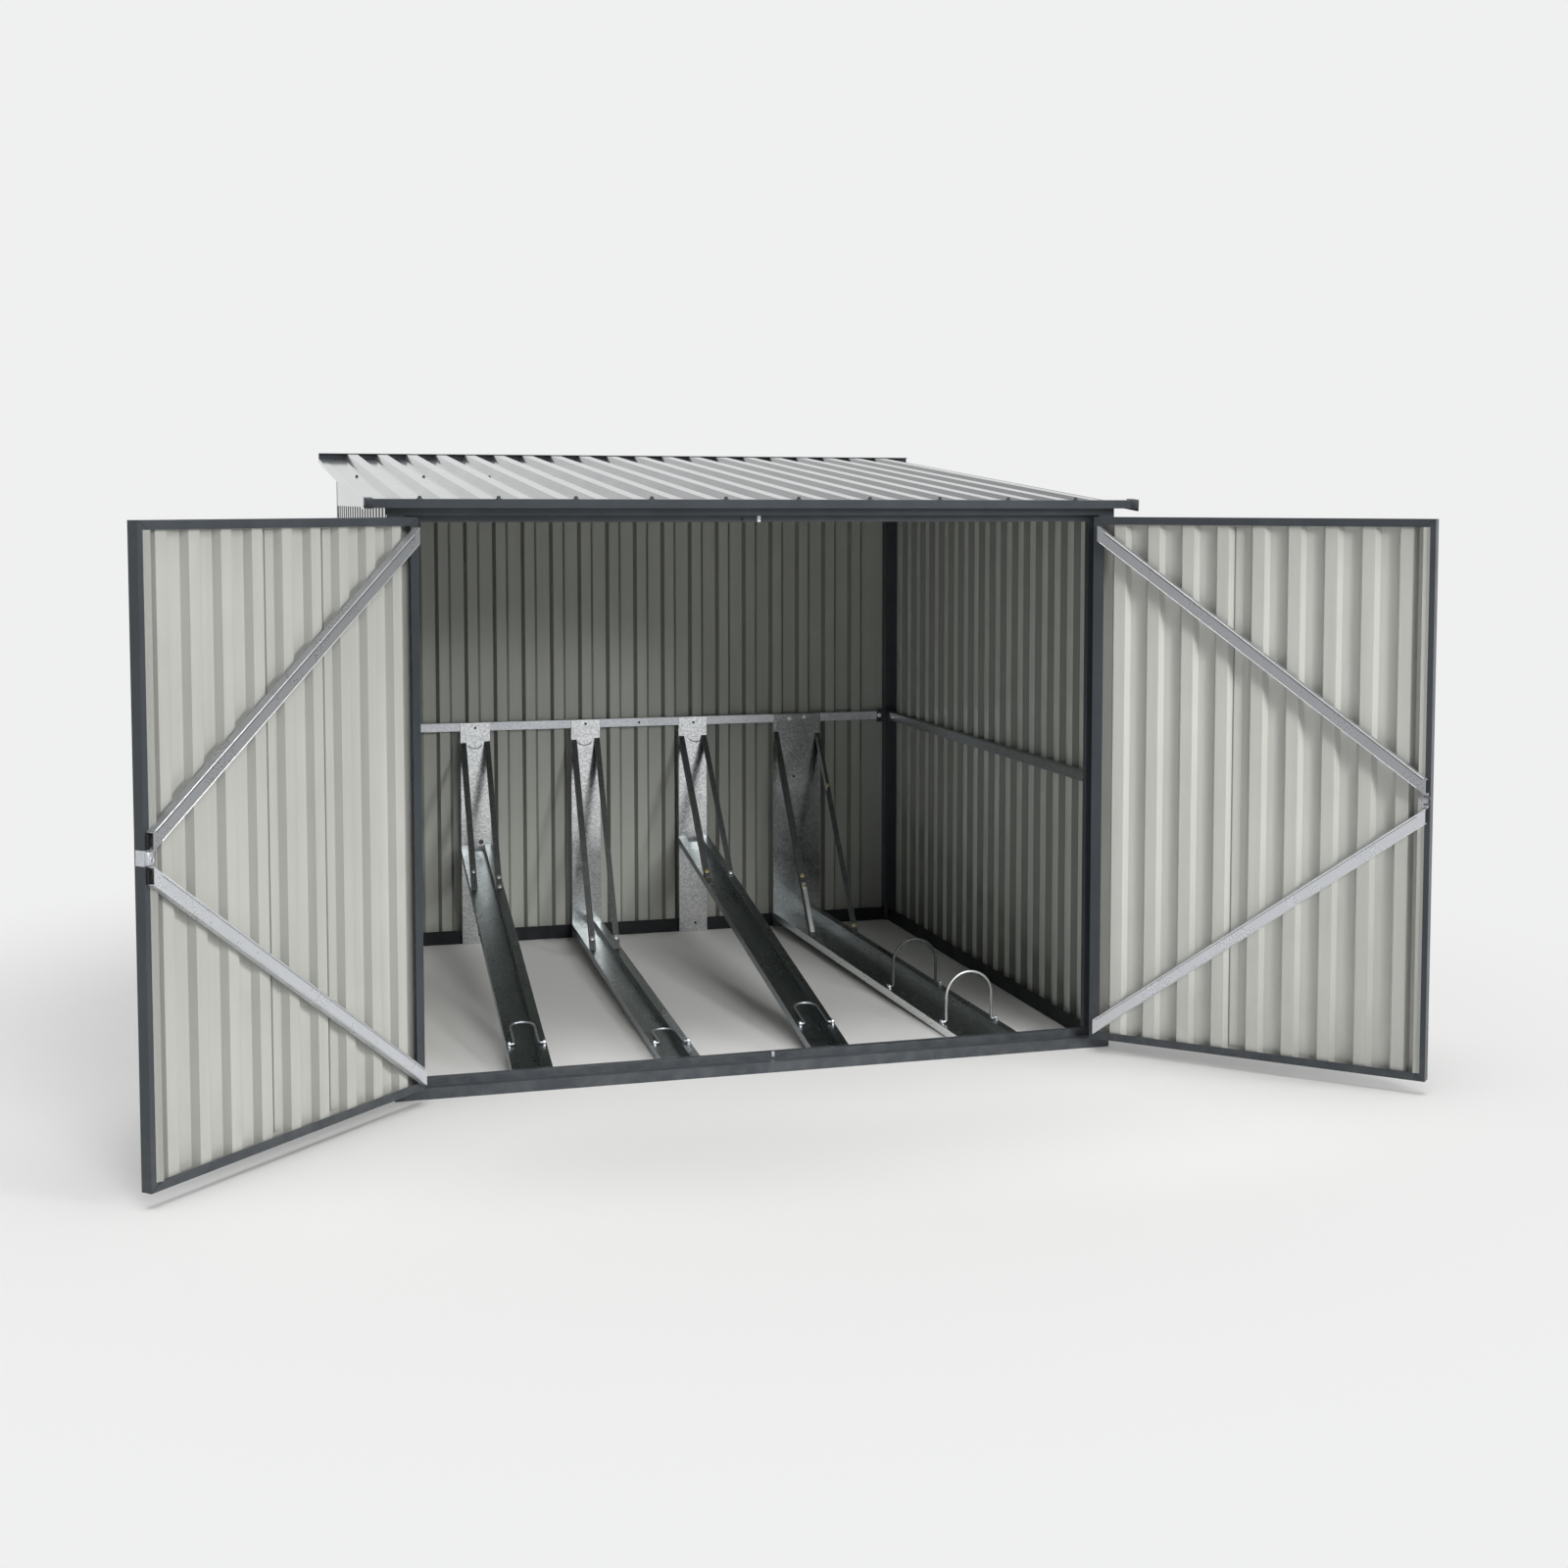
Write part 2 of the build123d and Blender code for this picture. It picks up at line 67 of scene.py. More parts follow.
# broad lamps: one ahead, one low to the right and one overhead, by bearing from the front and by height
warmWhite = (1, 0.99, 0.975)
lampDistance = 6
lampSet = {
    "frontLamp": {"bearing": 12, "height": 28, "softness": 20, "strength": 1.05, "tint": warmWhite},
    "sideLamp": {"bearing": 55, "height": 13, "softness": 12, "strength": 1.12, "tint": warmWhite},
    "topLamp": {"bearing": 0, "height": 83, "softness": 40, "strength": 1.75, "tint": (1, 1, 1)},
}
for lampName, lampSpec in lampSet.items():
    bearing, height = math.radians(lampSpec["bearing"]), math.radians(lampSpec["height"])
    toLamp = Vector((math.sin(bearing), -math.cos(bearing), math.tan(height))).normalized()
    bpy.ops.object.light_add(type="SUN", location=toLamp * lampDistance)
    lamp = bpy.context.object
    lamp.name = lampName
    lamp.data.angle = math.radians(lampSpec["softness"])
    lamp.data.energy = lampSpec["strength"]
    lamp.data.color = lampSpec["tint"]
    lamp.rotation_euler = toLamp.to_track_quat("Z", "Y").to_euler()

# a narrow lamp that reaches into the shelter through the doorway
doorwayLamp = {
    "place": (2.4, -3.9, 2.4),
    "aim": (0.05, 0.75, 0.3),
    "watts": 340,
    "cone": 30,
    "blend": 0.5,
    "radius": 0.35,
}
bpy.ops.object.light_add(type="SPOT", location=doorwayLamp["place"])
spot = bpy.context.object
spot.name = "doorwayLamp"
spot.data.energy = doorwayLamp["watts"]
spot.data.color = warmWhite
spot.data.spot_size = math.radians(doorwayLamp["cone"])
spot.data.spot_blend = doorwayLamp["blend"]
spot.data.shadow_soft_size = doorwayLamp["radius"]
spot.visible_glossy = False
toSpot = Vector(doorwayLamp["place"]) - Vector(doorwayLamp["aim"])
spot.rotation_euler = toSpot.to_track_quat("Z", "Y").to_euler()


# small tools for the finishes and the studio
def feed(tree, socket, value):
    # a socket takes a link from another node or a constant
    if isinstance(value, bpy.types.NodeSocket):
        tree.links.new(value, socket)
    else:
        socket.default_value = value


def setSockets(tree, node, **sockets):
    for name, value in sockets.items():
        feed(tree, node.inputs[name.replace("_", " ")], value)


def addNode(tree, kind, **sockets):
    node = tree.nodes.new(kind)
    setSockets(tree, node, **sockets)
    return node


def newFinish(name):
    finish = bpy.data.materials.new(name)
    finish.use_nodes = True
    return finish, finish.node_tree, finish.node_tree.nodes["Principled BSDF"]


def mathNode(tree, operation, first, second=0):
    node = tree.nodes.new("ShaderNodeMath")
    node.operation = operation
    feed(tree, node.inputs[0], first)
    feed(tree, node.inputs[1], second)
    return node.outputs[0]


def vectorValue(tree, operation, first, second):
    node = tree.nodes.new("ShaderNodeVectorMath")
    node.operation = operation
    feed(tree, node.inputs[0], first)
    feed(tree, node.inputs[1], second)
    return node.outputs["Value"]


def rangeNode(tree, value, fromMin, fromMax, toMin, toMax):
    node = addNode(tree, "ShaderNodeMapRange", Value=value, From_Min=fromMin, From_Max=fromMax)
    setSockets(tree, node, To_Min=toMin, To_Max=toMax)
    return node.outputs["Result"]


def mixColour(tree, share, first, second, blend="MIX"):
    node = tree.nodes.new("ShaderNodeMix")
    node.data_type = "RGBA"
    node.blend_type = blend
    for place, value in ((0, share), (6, first), (7, second)):  # the colour sockets of this node
        feed(tree, node.inputs[place], value)
    return node.outputs[2]


def mixShaders(tree, share, first, second, target):
    node = tree.nodes.new("ShaderNodeMixShader")
    for socket, value in zip(node.inputs, (share, first, second)):
        tree.links.new(value, socket)
    tree.links.new(node.outputs[0], target)


def objectCoords(tree, stretch=(1, 1, 1)):
    coords = tree.nodes.new("ShaderNodeTexCoord")
    mapping = addNode(tree, "ShaderNodeMapping", Vector=coords.outputs["Object"], Scale=stretch)
    return mapping.outputs["Vector"]


def coordPart(tree, kind, part):
    coords = tree.nodes.new("ShaderNodeTexCoord")
    split = tree.nodes.new("ShaderNodeSeparateXYZ")
    tree.links.new(coords.outputs[kind], split.inputs[0])
    return split.outputs[part]


def noiseNode(tree, scale, detail, stretch=(1, 1, 1)):
    place = objectCoords(tree, stretch)
    noise = addNode(tree, "ShaderNodeTexNoise", Vector=place, Scale=scale, Detail=detail, Roughness=0.55)
    return noise.outputs["Fac"]


def softEdges(tree, radius):
    bevel = addNode(tree, "ShaderNodeBevel", Radius=radius)
    bevel.samples = 4
    return bevel.outputs["Normal"]


edgeTurn = (0.985, 0.80)  # cosines of the turn where an edge begins and where it is full


def edgeShare(tree, radius):
    # 1 along the folds and cut edges, 0 on the flats
    geometry = tree.nodes.new("ShaderNodeNewGeometry")
    turn = vectorValue(tree, "DOT_PRODUCT", softEdges(tree, radius), geometry.outputs["Normal"])
    return rangeNode(tree, turn, *edgeTurn, 0, 1)


def bumpNode(tree, height, strength, distance, normal):
    bump = addNode(tree, "ShaderNodeBump", Strength=strength, Distance=distance, Height=height, Normal=normal)
    return bump.outputs["Normal"]


def distanceFade(tree, middle, reach, stretch=(1, 1, 1)):
    # 0 near a point, 1 beyond the reach
    stretchedMiddle = [place * scale for place, scale in zip(middle, stretch)]
    away = vectorValue(tree, "DISTANCE", objectCoords(tree, stretch), stretchedMiddle)
    fade = addNode(tree, "ShaderNodeMapRange", Value=away, From_Min=reach[0], From_Max=reach[1])
    fade.interpolation_type = "SMOOTHSTEP"
    return fade.outputs["Result"]


def seenShare(tree):
    # 1 for the camera and for gloss, 0 for the light that the surroundings give
    path = tree.nodes.new("ShaderNodeLightPath")
    return mathNode(tree, "MAXIMUM", path.outputs["Is Camera Ray"], path.outputs["Is Glossy Ray"])


# studio surroundings: soft grey light, a near-white backdrop for the camera and for gloss
studio = {"ambient": 0.155, "backdrop": 0.87, "tint": (0.995, 1, 1, 1)}
world = bpy.data.worlds.new("studioWorld")
scene.world = world
world.use_nodes = True
worldTree = world.node_tree
worldTree.nodes.clear()
softSky = addNode(worldTree, "ShaderNodeBackground", Color=(1, 1, 1, 1), Strength=studio["ambient"])
whiteSky = addNode(worldTree, "ShaderNodeBackground", Color=studio["tint"], Strength=studio["backdrop"])
worldOut = worldTree.nodes.new("ShaderNodeOutputWorld").inputs["Surface"]
mixShaders(worldTree, seenShare(worldTree), softSky.outputs[0], whiteSky.outputs[0], worldOut)

# pale floor that fades into the backdrop away from the shelter, a little darker where the doorway lamp falls
floorSpec = {
    "size": 60,
    "drop": 0.0005,
    "colour": (0.87, 0.87, 0.865, 1),
    "roughness": 0.75,
    "specular": 0.15,
    "middle": (0, 0.7, 0),
    "fade": (1.6, 3.5),
    "lampMiddle": (0.2, -0.46, 0),
    "lampFade": (0.15, 1.05),
    "lampStretch": (0.48, 1.25, 1),
    "lampColour": (0.70, 0.70, 0.695, 1),
}
bpy.ops.object.select_all(action="DESELECT")
bpy.ops.mesh.primitive_plane_add(size=floorSpec["size"], location=(0, 0, -floorSpec["drop"]))
floor = bpy.context.object
floor.name = "paleFloor"
floorPaint, floorTree, floorShader = newFinish("paleFloorPaint")
underLamp = distanceFade(floorTree, floorSpec["lampMiddle"], floorSpec["lampFade"], floorSpec["lampStretch"])
setSockets(
    floorTree, floorShader,
    Base_Color=mixColour(floorTree, underLamp, floorSpec["lampColour"], floorSpec["colour"]),
    Roughness=floorSpec["roughness"], Specular_IOR_Level=floorSpec["specular"],
)
floorGlow = addNode(floorTree, "ShaderNodeEmission", Color=studio["tint"], Strength=studio["backdrop"])
floorFade = distanceFade(floorTree, floorSpec["middle"], floorSpec["fade"])
floorShare = mathNode(floorTree, "MULTIPLY", floorFade, seenShare(floorTree))
floorOut = floorTree.nodes["Material Output"].inputs["Surface"]
mixShaders(floorTree, floorShare, floorShader.outputs[0], floorGlow.outputs[0], floorOut)
floor.data.materials.append(floorPaint)
print("studio set up")

# anthracite paint of the frame, the trims and the door leaves, and its darker and paler kin
paintSpec = {
    "frame": {
        "dark": (0.040, 0.047, 0.055, 1),
        "light": (0.056, 0.065, 0.075, 1),
        "worn": (0.16, 0.17, 0.18, 1),
        "dust": (0.30, 0.29, 0.27, 1),
        "roughness": 0.34,
        "specular": 0.32,
    },
    "base": {
        "dark": (0.014, 0.016, 0.018, 1),
        "light": (0.022, 0.025, 0.028, 1),
        "worn": (0.07, 0.075, 0.08, 1),
        "dust": (0.08, 0.08, 0.075, 1),
        "roughness": 0.50,
        "specular": 0.15,
    },
    # near-black paint: the own colour of the mitre beads, latch levers and header rivet, and painted shade at
    # the rack holes and beside the brace lips
    "darkPaintAndShade": {
        "dark": (0.018, 0.019, 0.020, 1),
        "light": (0.035, 0.036, 0.037, 1),
        "worn": (0.06, 0.06, 0.06, 1),
        "dust": (0.10, 0.10, 0.095, 1),
        "roughness": 0.6,
        "specular": 0.2,
    },
    # dark grey painted shade along the lap edges
    "lapShadeEdge": {
        "dark": (0.23, 0.235, 0.22, 1),
        "light": (0.29, 0.295, 0.28, 1),
        "worn": (0.34, 0.34, 0.33, 1),
        "dust": (0.30, 0.29, 0.27, 1),
        "roughness": 0.5,
        "specular": 0.3,
    },
}
# scale, detail and stretch of each noise in the paint
paintGrain = {
    "cloud": (5.0, 4),
    "streak": (14.0, 3, (1, 1, 0.06)),
    "wear": (70, 4),
    "dust": (26, 5),
    "gloss": (9, 4),
    "peel": (520, 2),
}
coatRoughness = 0.09


def anthracitePaint(name, spec, lacquer=0):
    finish, tree, shader = newFinish(name)
    noise = {part: noiseNode(tree, *grain) for part, grain in paintGrain.items()}
    shade = mathNode(tree, "MULTIPLY", mathNode(tree, "ADD", noise["cloud"], noise["streak"]), 0.5)
    colour = mixColour(tree, rangeNode(tree, shade, 0.35, 0.65, 0, 1), spec["dark"], spec["light"])
    worn = rangeNode(tree, noise["wear"], 0.42, 0.68, 0, 0.55)
    wear = mathNode(tree, "MULTIPLY", edgeShare(tree, 0.0016), worn)
    colour = mixColour(tree, wear, colour, spec["worn"])
    low = rangeNode(tree, coordPart(tree, "Object", "Z"), 0, 0.22, 1, 0)  # splashed up to this height
    dust = mathNode(tree, "MULTIPLY", low, rangeNode(tree, noise["dust"], 0.40, 0.75, 0, 0.16))
    colour = mixColour(tree, dust, colour, spec["dust"])
    rough = rangeNode(tree, noise["gloss"], 0.3, 0.7, spec["roughness"] - 0.05, spec["roughness"] + 0.07)
    rough = mathNode(tree, "ADD", rough, mathNode(tree, "MULTIPLY", dust, 1.2))
    setSockets(
        tree, shader, Base_Color=colour, Roughness=rough, Specular_IOR_Level=spec["specular"],
        Coat_Weight=lacquer, Coat_Roughness=coatRoughness,
        Normal=bumpNode(tree, noise["peel"], 0.10, 0.0004, softEdges(tree, 0.0014)),
    )
    return finish


# coil-coated sheet: grey-white inside, anthracite outside, told apart by the way a face looks
sheetSpec = {
    "inside": (0.500, 0.508, 0.478, 1),
    "insideShade": (0.455, 0.462, 0.432, 1),
    "outside": (0.043, 0.050, 0.058, 1),
    "outsideLight": (0.058, 0.067, 0.077, 1),
    "cutEdge": (0.30, 0.31, 0.32, 1),
    "grime": (0.24, 0.235, 0.21, 1),
    # near-black of the painted shade on the rib flanks
    "paintedRibShade": (0.035, 0.037, 0.034, 1),
    "insideGloss": (0.46, 0.46, 0.46, 1),
    "outsideGloss": (0.30, 0.30, 0.30, 1),
}
sheetGrain = {"cloud": (3.2, 4), "grime": (18, 5, (1, 1, 0.5)), "peel": (420, 2), "wave": (7, 2)}
upright = (0, 0, 1)


def toned(colour, toneAndPaintedLight, green):
    return (colour[0] * toneAndPaintedLight * (1 - green), colour[1] * toneAndPaintedLight, colour[2] * toneAndPaintedLight * (1 - green), 1)


def coatedSheet(name, inward, toneAndPaintedLight, lacquer, green=0, paintedRibShade=0, along=upright):
    # tone and green shift the inner coat, and the tone also paints light and shade that differ from sheet to
    # sheet; lacquer is the clear coat; the rib-shade share paints shade on the rib flanks
    finish, tree, shader = newFinish(name)
    spec = sheetSpec
    coords = tree.nodes.new("ShaderNodeTexCoord")
    facing = vectorValue(tree, "DOT_PRODUCT", coords.outputs["Normal"], Vector(inward).normalized())
    inside = rangeNode(tree, facing, 0.05, 0.15, 0, 1)
    outside = rangeNode(tree, facing, -0.15, -0.05, 1, 0)
    noise = {part: noiseNode(tree, *grain) for part, grain in sheetGrain.items()}
    roll = noiseNode(tree, 30.0, 3, tuple(0.03 if abs(part) > 0.5 else 1 for part in along))
    shade = rangeNode(tree, mathNode(tree, "ADD", roll, noise["cloud"]), 0.75, 1.25, 0, 1)
    pale = mixColour(tree, shade, toned(spec["insideShade"], toneAndPaintedLight, green), toned(spec["inside"], toneAndPaintedLight, green))
    dark = mixColour(tree, shade, spec["outside"], spec["outsideLight"])
    low = rangeNode(tree, coordPart(tree, "Object", "Z"), 0, 0.30, 1, 0)  # splashed up to this height
    grime = mathNode(tree, "MULTIPLY", low, rangeNode(tree, noise["grime"], 0.38, 0.75, 0, 0.30))
    pale = mixColour(tree, grime, pale, spec["grime"])
    # painted shade: the rib flanks, which turn away from the sheet's plane, are darkened towards a near-black
    ribShadeShare = rangeNode(tree, mathNode(tree, "ABSOLUTE", facing), 0.92, 0.75, 0, paintedRibShade)
    pale = mixColour(tree, ribShadeShare, pale, spec["paintedRibShade"])
    gloss = mixColour(tree, inside, spec["outsideGloss"], spec["insideGloss"])
    fine = mathNode(tree, "MULTIPLY", noise["peel"], 0.10)
    peel = mathNode(tree, "ADD", fine, mathNode(tree, "MULTIPLY", noise["wave"], 0.9))
    setSockets(
        tree, shader, Coat_Weight=lacquer, Coat_Roughness=coatRoughness,
        Base_Color=mixColour(tree, inside, mixColour(tree, outside, spec["cutEdge"], dark), pale),
        Roughness=mathNode(tree, "ADD", gloss, rangeNode(tree, noise["cloud"], 0.3, 0.7, -0.04, 0.06)),
        Normal=bumpNode(tree, peel, 0.12, 0.003, softEdges(tree, 0.0022)),
    )
    return finish


# hot-dip zinc with spangle: each finish has what differs from the plain one
plateGloss = {"roughness": 0.17, "relief": 0.03}
plainZinc = {"grain": 190, "roughness": 0.32, "relief": 0.05, "metal": 1}
channelTones = {
    "dark": (0.135, 0.160, 0.168, 1), "light": (0.225, 0.255, 0.262, 1),
    "grain": 160, "roughness": 0.30, "relief": 0.015,
}
zincSpec = {
    "rail": {"dark": (0.49, 0.51, 0.54, 1), "light": (0.64, 0.66, 0.69, 1)},
    # the side rails take a darker zinc than the rear rail, as painted shade
    "shadedSideRail": {"dark": (0.25, 0.265, 0.275, 1), "light": (0.39, 0.405, 0.42, 1), "roughness": 0.34},
    # the braces below 0.80 m are made 1.85 times lighter, as painted light
    "brace": {
        "dark": (0.315, 0.325, 0.345, 1), "light": (0.345, 0.355, 0.375, 1), "grain": 300,
        "roughness": 0.30, "relief": 0.004, "metal": 0.45, "litBelow": (0.80, 1.85),
    },
    "plate": {"dark": (0.46, 0.48, 0.49, 1), "light": (0.80, 0.81, 0.82, 1), **plateGloss},
    "widePlate": {"dark": (0.36, 0.38, 0.39, 1), "light": (0.66, 0.68, 0.69, 1), **plateGloss},
    # faces of the channels turned to the left are made lighter, as painted reflection
    "channel": {**channelTones, "leftSideReflection": (0.30, 0.33, 0.35, 1)},
    "wideChannel": {**channelTones, "leftSideReflection": (0.88, 0.90, 0.90, 1)},
    "strut": {
        "dark": (0.070, 0.076, 0.078, 1), "light": (0.120, 0.128, 0.130, 1), "grain": 150,
        "roughness": 0.36, "relief": 0.08, "metal": 0.35,
    },
    "bar": {"dark": (0.66, 0.67, 0.68, 1), "light": (0.80, 0.81, 0.81, 1), "grain": 240, "roughness": 0.34},
    "bolt": {"dark": (0.60, 0.61, 0.62, 1), "light": (0.84, 0.84, 0.84, 1), "grain": 400, "roughness": 0.26},
    "yellow": {"dark": (0.50, 0.41, 0.20, 1), "light": (0.74, 0.64, 0.38, 1), "grain": 400, "roughness": 0.3},
}
brightEdge = (0.85, 0.86, 0.87, 1)


def spangledZinc(name, ownSpec):
    spec = {**plainZinc, **ownSpec}
    finish, tree, shader = newFinish(name)
    place = objectCoords(tree)
    cells = addNode(tree, "ShaderNodeTexVoronoi", Vector=place, Scale=spec["grain"], Randomness=1)
    grain = tree.nodes.new("ShaderNodeSeparateColor")
    tree.links.new(cells.outputs["Color"], grain.inputs[0])
    bloom = noiseNode(tree, 7, 5)
    fleck = noiseNode(tree, spec["grain"] * 3, 3)
    parts = mathNode(tree, "MULTIPLY", grain.outputs[0], 0.55), mathNode(tree, "MULTIPLY", bloom, 0.45)
    speck = mathNode(tree, "MULTIPLY", mathNode(tree, "SUBTRACT", fleck, 0.5), 0.25)
    shade = mathNode(tree, "ADD", mathNode(tree, "ADD", *parts), speck)
    colour = mixColour(tree, rangeNode(tree, shade, 0.15, 0.85, 0, 1), spec["dark"], spec["light"])
    # painted reflection: faces whose normal points to the left take a lighter colour
    if "leftSideReflection" in spec:
        left = rangeNode(tree, coordPart(tree, "Normal", "X"), -0.8, -0.9, 0, 1)
        colour = mixColour(tree, left, colour, spec["leftSideReflection"])
    # painted light: the colour is multiplied lighter below a given height
    if "litBelow" in spec:
        level, gain = spec["litBelow"]
        litBelowColour = mixColour(tree, 1.0, colour, (gain, gain, gain, 1), "MULTIPLY")
        lower = rangeNode(tree, coordPart(tree, "Object", "Z"), level + 0.01, level - 0.01, 0, 1)
        colour = mixColour(tree, lower, colour, litBelowColour)
    wear = mathNode(tree, "MULTIPLY", edgeShare(tree, 0.0015), 0.45)
    rough = rangeNode(tree, grain.outputs[1], 0, 1, spec["roughness"] - 0.03, spec["roughness"] + 0.04)
    setSockets(
        tree, shader, Metallic=spec["metal"], Base_Color=mixColour(tree, wear, colour, brightEdge),
        Roughness=mathNode(tree, "ADD", rough, rangeNode(tree, bloom, 0.35, 0.7, -0.03, 0.06)),
        Normal=bumpNode(tree, fleck, spec["relief"], 0.0005, softEdges(tree, 0.0012)),
    )
    return finish


framePaint = anthracitePaint("framePaint", paintSpec["frame"])
glossPaint = anthracitePaint("glossPaint", paintSpec["frame"], 1)
basePaint = anthracitePaint("basePaint", paintSpec["base"])
darkPaintAndShade = anthracitePaint("darkPaintAndShade", paintSpec["darkPaintAndShade"])
lapShadeEdge = anthracitePaint("lapShadeEdge", paintSpec["lapShadeEdge"])
zinc = {zincName: spangledZinc(zincName + "Zinc", spec) for zincName, spec in zincSpec.items()}

doorTurn = math.radians(134)
doorIn = (math.sin(doorTurn), math.cos(doorTurn), 0)
rightDoorIn = (-doorIn[0], doorIn[1], 0)
# tone, clear coat, green and rib-flank shade of each sheet, which follow the light in the photograph: the
# tone and the rib-flank shade are painted light and shade
sheetFinish = {
    "left_wall_sheet": coatedSheet("leftWallCoat", (1, 0, 0), 0.92, 1),
    "right_wall_sheet": coatedSheet("rightWallCoat", (-1, 0, 0), 1.40, 0.5, 0.04, 0.86),
    "rear_wall_sheet": coatedSheet("rearWallCoat", (0, -1, 0), 0.94, 0.3, 0.02, 0.42),
    "left_door_sheet": coatedSheet("leftDoorCoat", doorIn, 1.01, 0.3, 0, 0.22),
    "right_door_sheet": coatedSheet("rightDoorCoat", rightDoorIn, 1.16, 0.3),
    "roof_sheet": coatedSheet("roofCoat", (0, 0, -1), 0.92, 0.92, along=(0, 1, 0)),
}
# the flashings use the inner coat made darker by their tone, as painted shade
flashCoat = {
    -1: coatedSheet("leftFlashCoat", doorIn, 0.72, 0.3),
    1: coatedSheet("rightFlashCoat", rightDoorIn, 0.72, 0.3),
}
# the first rule that fits a node's name gives its finish
finishRules = (
    ("rack_4", "_plate", zinc["widePlate"]),
    ("rack_4", "_channel", zinc["wideChannel"]),
    ("", "_plate", zinc["plate"]),
    ("", "_channel", zinc["channel"]),
    ("", "_struts", zinc["strut"]),
    ("", "_bail", zinc["bar"]),
    ("", "_braces", zinc["brace"]),
    ("", "_side_rail", zinc["shadedSideRail"]),
    ("", ("_rack_rail", "_lock"), zinc["rail"]),
    ("", "_base_rail", basePaint),
    # the right verge trim takes the darker base-rail paint as painted shade; the left one takes the lacquered
    # frame paint
    ("right", "_verge_trim", basePaint),
    ("left", "_verge_trim", glossPaint),
    ("", "_gable_panel", glossPaint),
)


def finishFor(node):
    for start, ending, finish in finishRules:
        if node.startswith(start) and node.endswith(ending):
            return finish
    return sheetFinish.get(node, framePaint)


for nodeName, nodeObject in nodes.items():
    nodeObject.data.materials.clear()
    nodeObject.data.materials.append(finishFor(nodeName))
print("finishes on the frame")


# tools for modelling
def clearSelection():
    bpy.ops.object.select_all(action="DESELECT")


def openEdit(piece):
    clearSelection()
    piece.select_set(True)
    bpy.context.view_layer.objects.active = piece
    bpy.ops.object.mode_set(mode="EDIT")
    bpy.ops.mesh.select_mode(type="FACE")
    bpy.ops.mesh.select_all(action="DESELECT")


def pickFaces(piece, test):
    mesh = bmesh.from_edit_mesh(piece.data)
    for face in mesh.faces:
        face.select_set(bool(test(face.calc_center_median(), face.normal)))
    mesh.select_flush_mode()
    bmesh.update_edit_mesh(piece.data)


def pickSide(piece, axis, sign=1):
    pickFaces(piece, lambda middle, normal: normal[axis] * sign > 0.9)


def extrude(x, y, z):
    bpy.ops.mesh.extrude_region_move(TRANSFORM_OT_translate={"value": (x, y, z)})


def insetMove(thickness, x, y, z):
    # picked faces drawn in and then moved
    bpy.ops.mesh.inset(thickness=thickness)
    bpy.ops.transform.translate(value=(x, y, z))


def closeEdit(piece, smoothAngle=32):
    bpy.ops.mesh.select_all(action="SELECT")
    bpy.ops.mesh.remove_doubles(threshold=0.00002)
    bpy.ops.mesh.normals_make_consistent(inside=False)
    bpy.ops.object.mode_set(mode="OBJECT")
    bpy.ops.object.transform_apply(location=True, rotation=True, scale=True)
    bpy.ops.object.shade_smooth_by_angle(angle=math.radians(smoothAngle))


def sweepRound(steps, angle, center, axis):
    # the spin operator turns left-handed, so the angle changes sign here
    bpy.ops.mesh.spin(steps=steps, angle=-angle, center=center, axis=axis)


def sweepAll(piece, steps, angle, axis):
    # the whole outline swept round the origin
    openEdit(piece)
    bpy.ops.mesh.select_all(action="SELECT")
    sweepRound(steps, angle, (0, 0, 0), axis)


def nameNew(name, size=(1, 1, 1)):
    # the primitive that was just added, with its place and size in the mesh
    piece = bpy.context.object
    piece.name = name
    piece.scale = size
    bpy.ops.object.transform_apply(location=True, rotation=True, scale=True)
    return piece


def startBox(name, size, place):
    clearSelection()
    bpy.ops.mesh.primitive_cube_add(size=1, location=place)
    return nameNew(name, size)


def bevelAll(width, segments=2):
    bpy.ops.mesh.select_all(action="SELECT")
    bpy.ops.mesh.bevel(offset=width, segments=segments, affect="EDGES")


def roundedBox(name, size, place, rounding, segments=1):
    box = startBox(name, size, place)
    openEdit(box)
    bevelAll(rounding, segments)
    closeEdit(box)
    return box


def dress(piece, finish, body):
    piece.data.materials.clear()
    piece.data.materials.append(finish)
    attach(piece, body)
    return piece


def axesMatrix(x, y, z):
    return Matrix((x, y, z)).transposed().to_4x4()


def standAt(point, axis, spin=0):
    turn = Vector(axis).to_track_quat("Z", "Y").to_matrix().to_4x4()
    return Matrix.Translation(Vector(point)) @ turn @ Matrix.Rotation(spin, 4, "Z")


def joinPieces(pieces, name):
    clearSelection()
    for piece in pieces:
        piece.select_set(True)
    bpy.context.view_layer.objects.active = pieces[0]
    if len(pieces) > 1:
        bpy.ops.object.join()
    pieces[0].name = name
    return pieces[0]


def scatter(pattern, name, places):
    # copies of one modelled pattern, joined into a single piece
    copies = []
    for place in places:
        copy = pattern.copy()
        copy.data = pattern.data.copy()
        copy.data.transform(place)
        scene.collection.objects.link(copy)
        copies.append(copy)
    return joinPieces(copies, name)


def mirrorCopy(piece, name):
    # the same piece on the other side of the shelter
    twin = piece.copy()
    twin.data = piece.data.copy()
    twin.name = name
    scene.collection.objects.link(twin)
    twin.data.transform(Matrix.Scale(-1, 4, (1, 0, 0)))
    twin.data.flip_normals()
    return twin


# patterns of the fasteners, modelled once with their seat at the origin and their head along z
boltSpec = {"washer": 0.0088, "washerHeight": 0.0014, "head": 0.0064, "headHeight": 0.0050, "chamfer": 0.0008}
screwSpec = {"washer": 0.008, "washerHeight": 0.0022, "head": 0.0048, "headHeight": 0.005, "chamfer": 0.0009}
rivetSpec = {"radius": 0.0044, "height": 0.0012, "crown": 0.0011, "dimple": 0.0012}


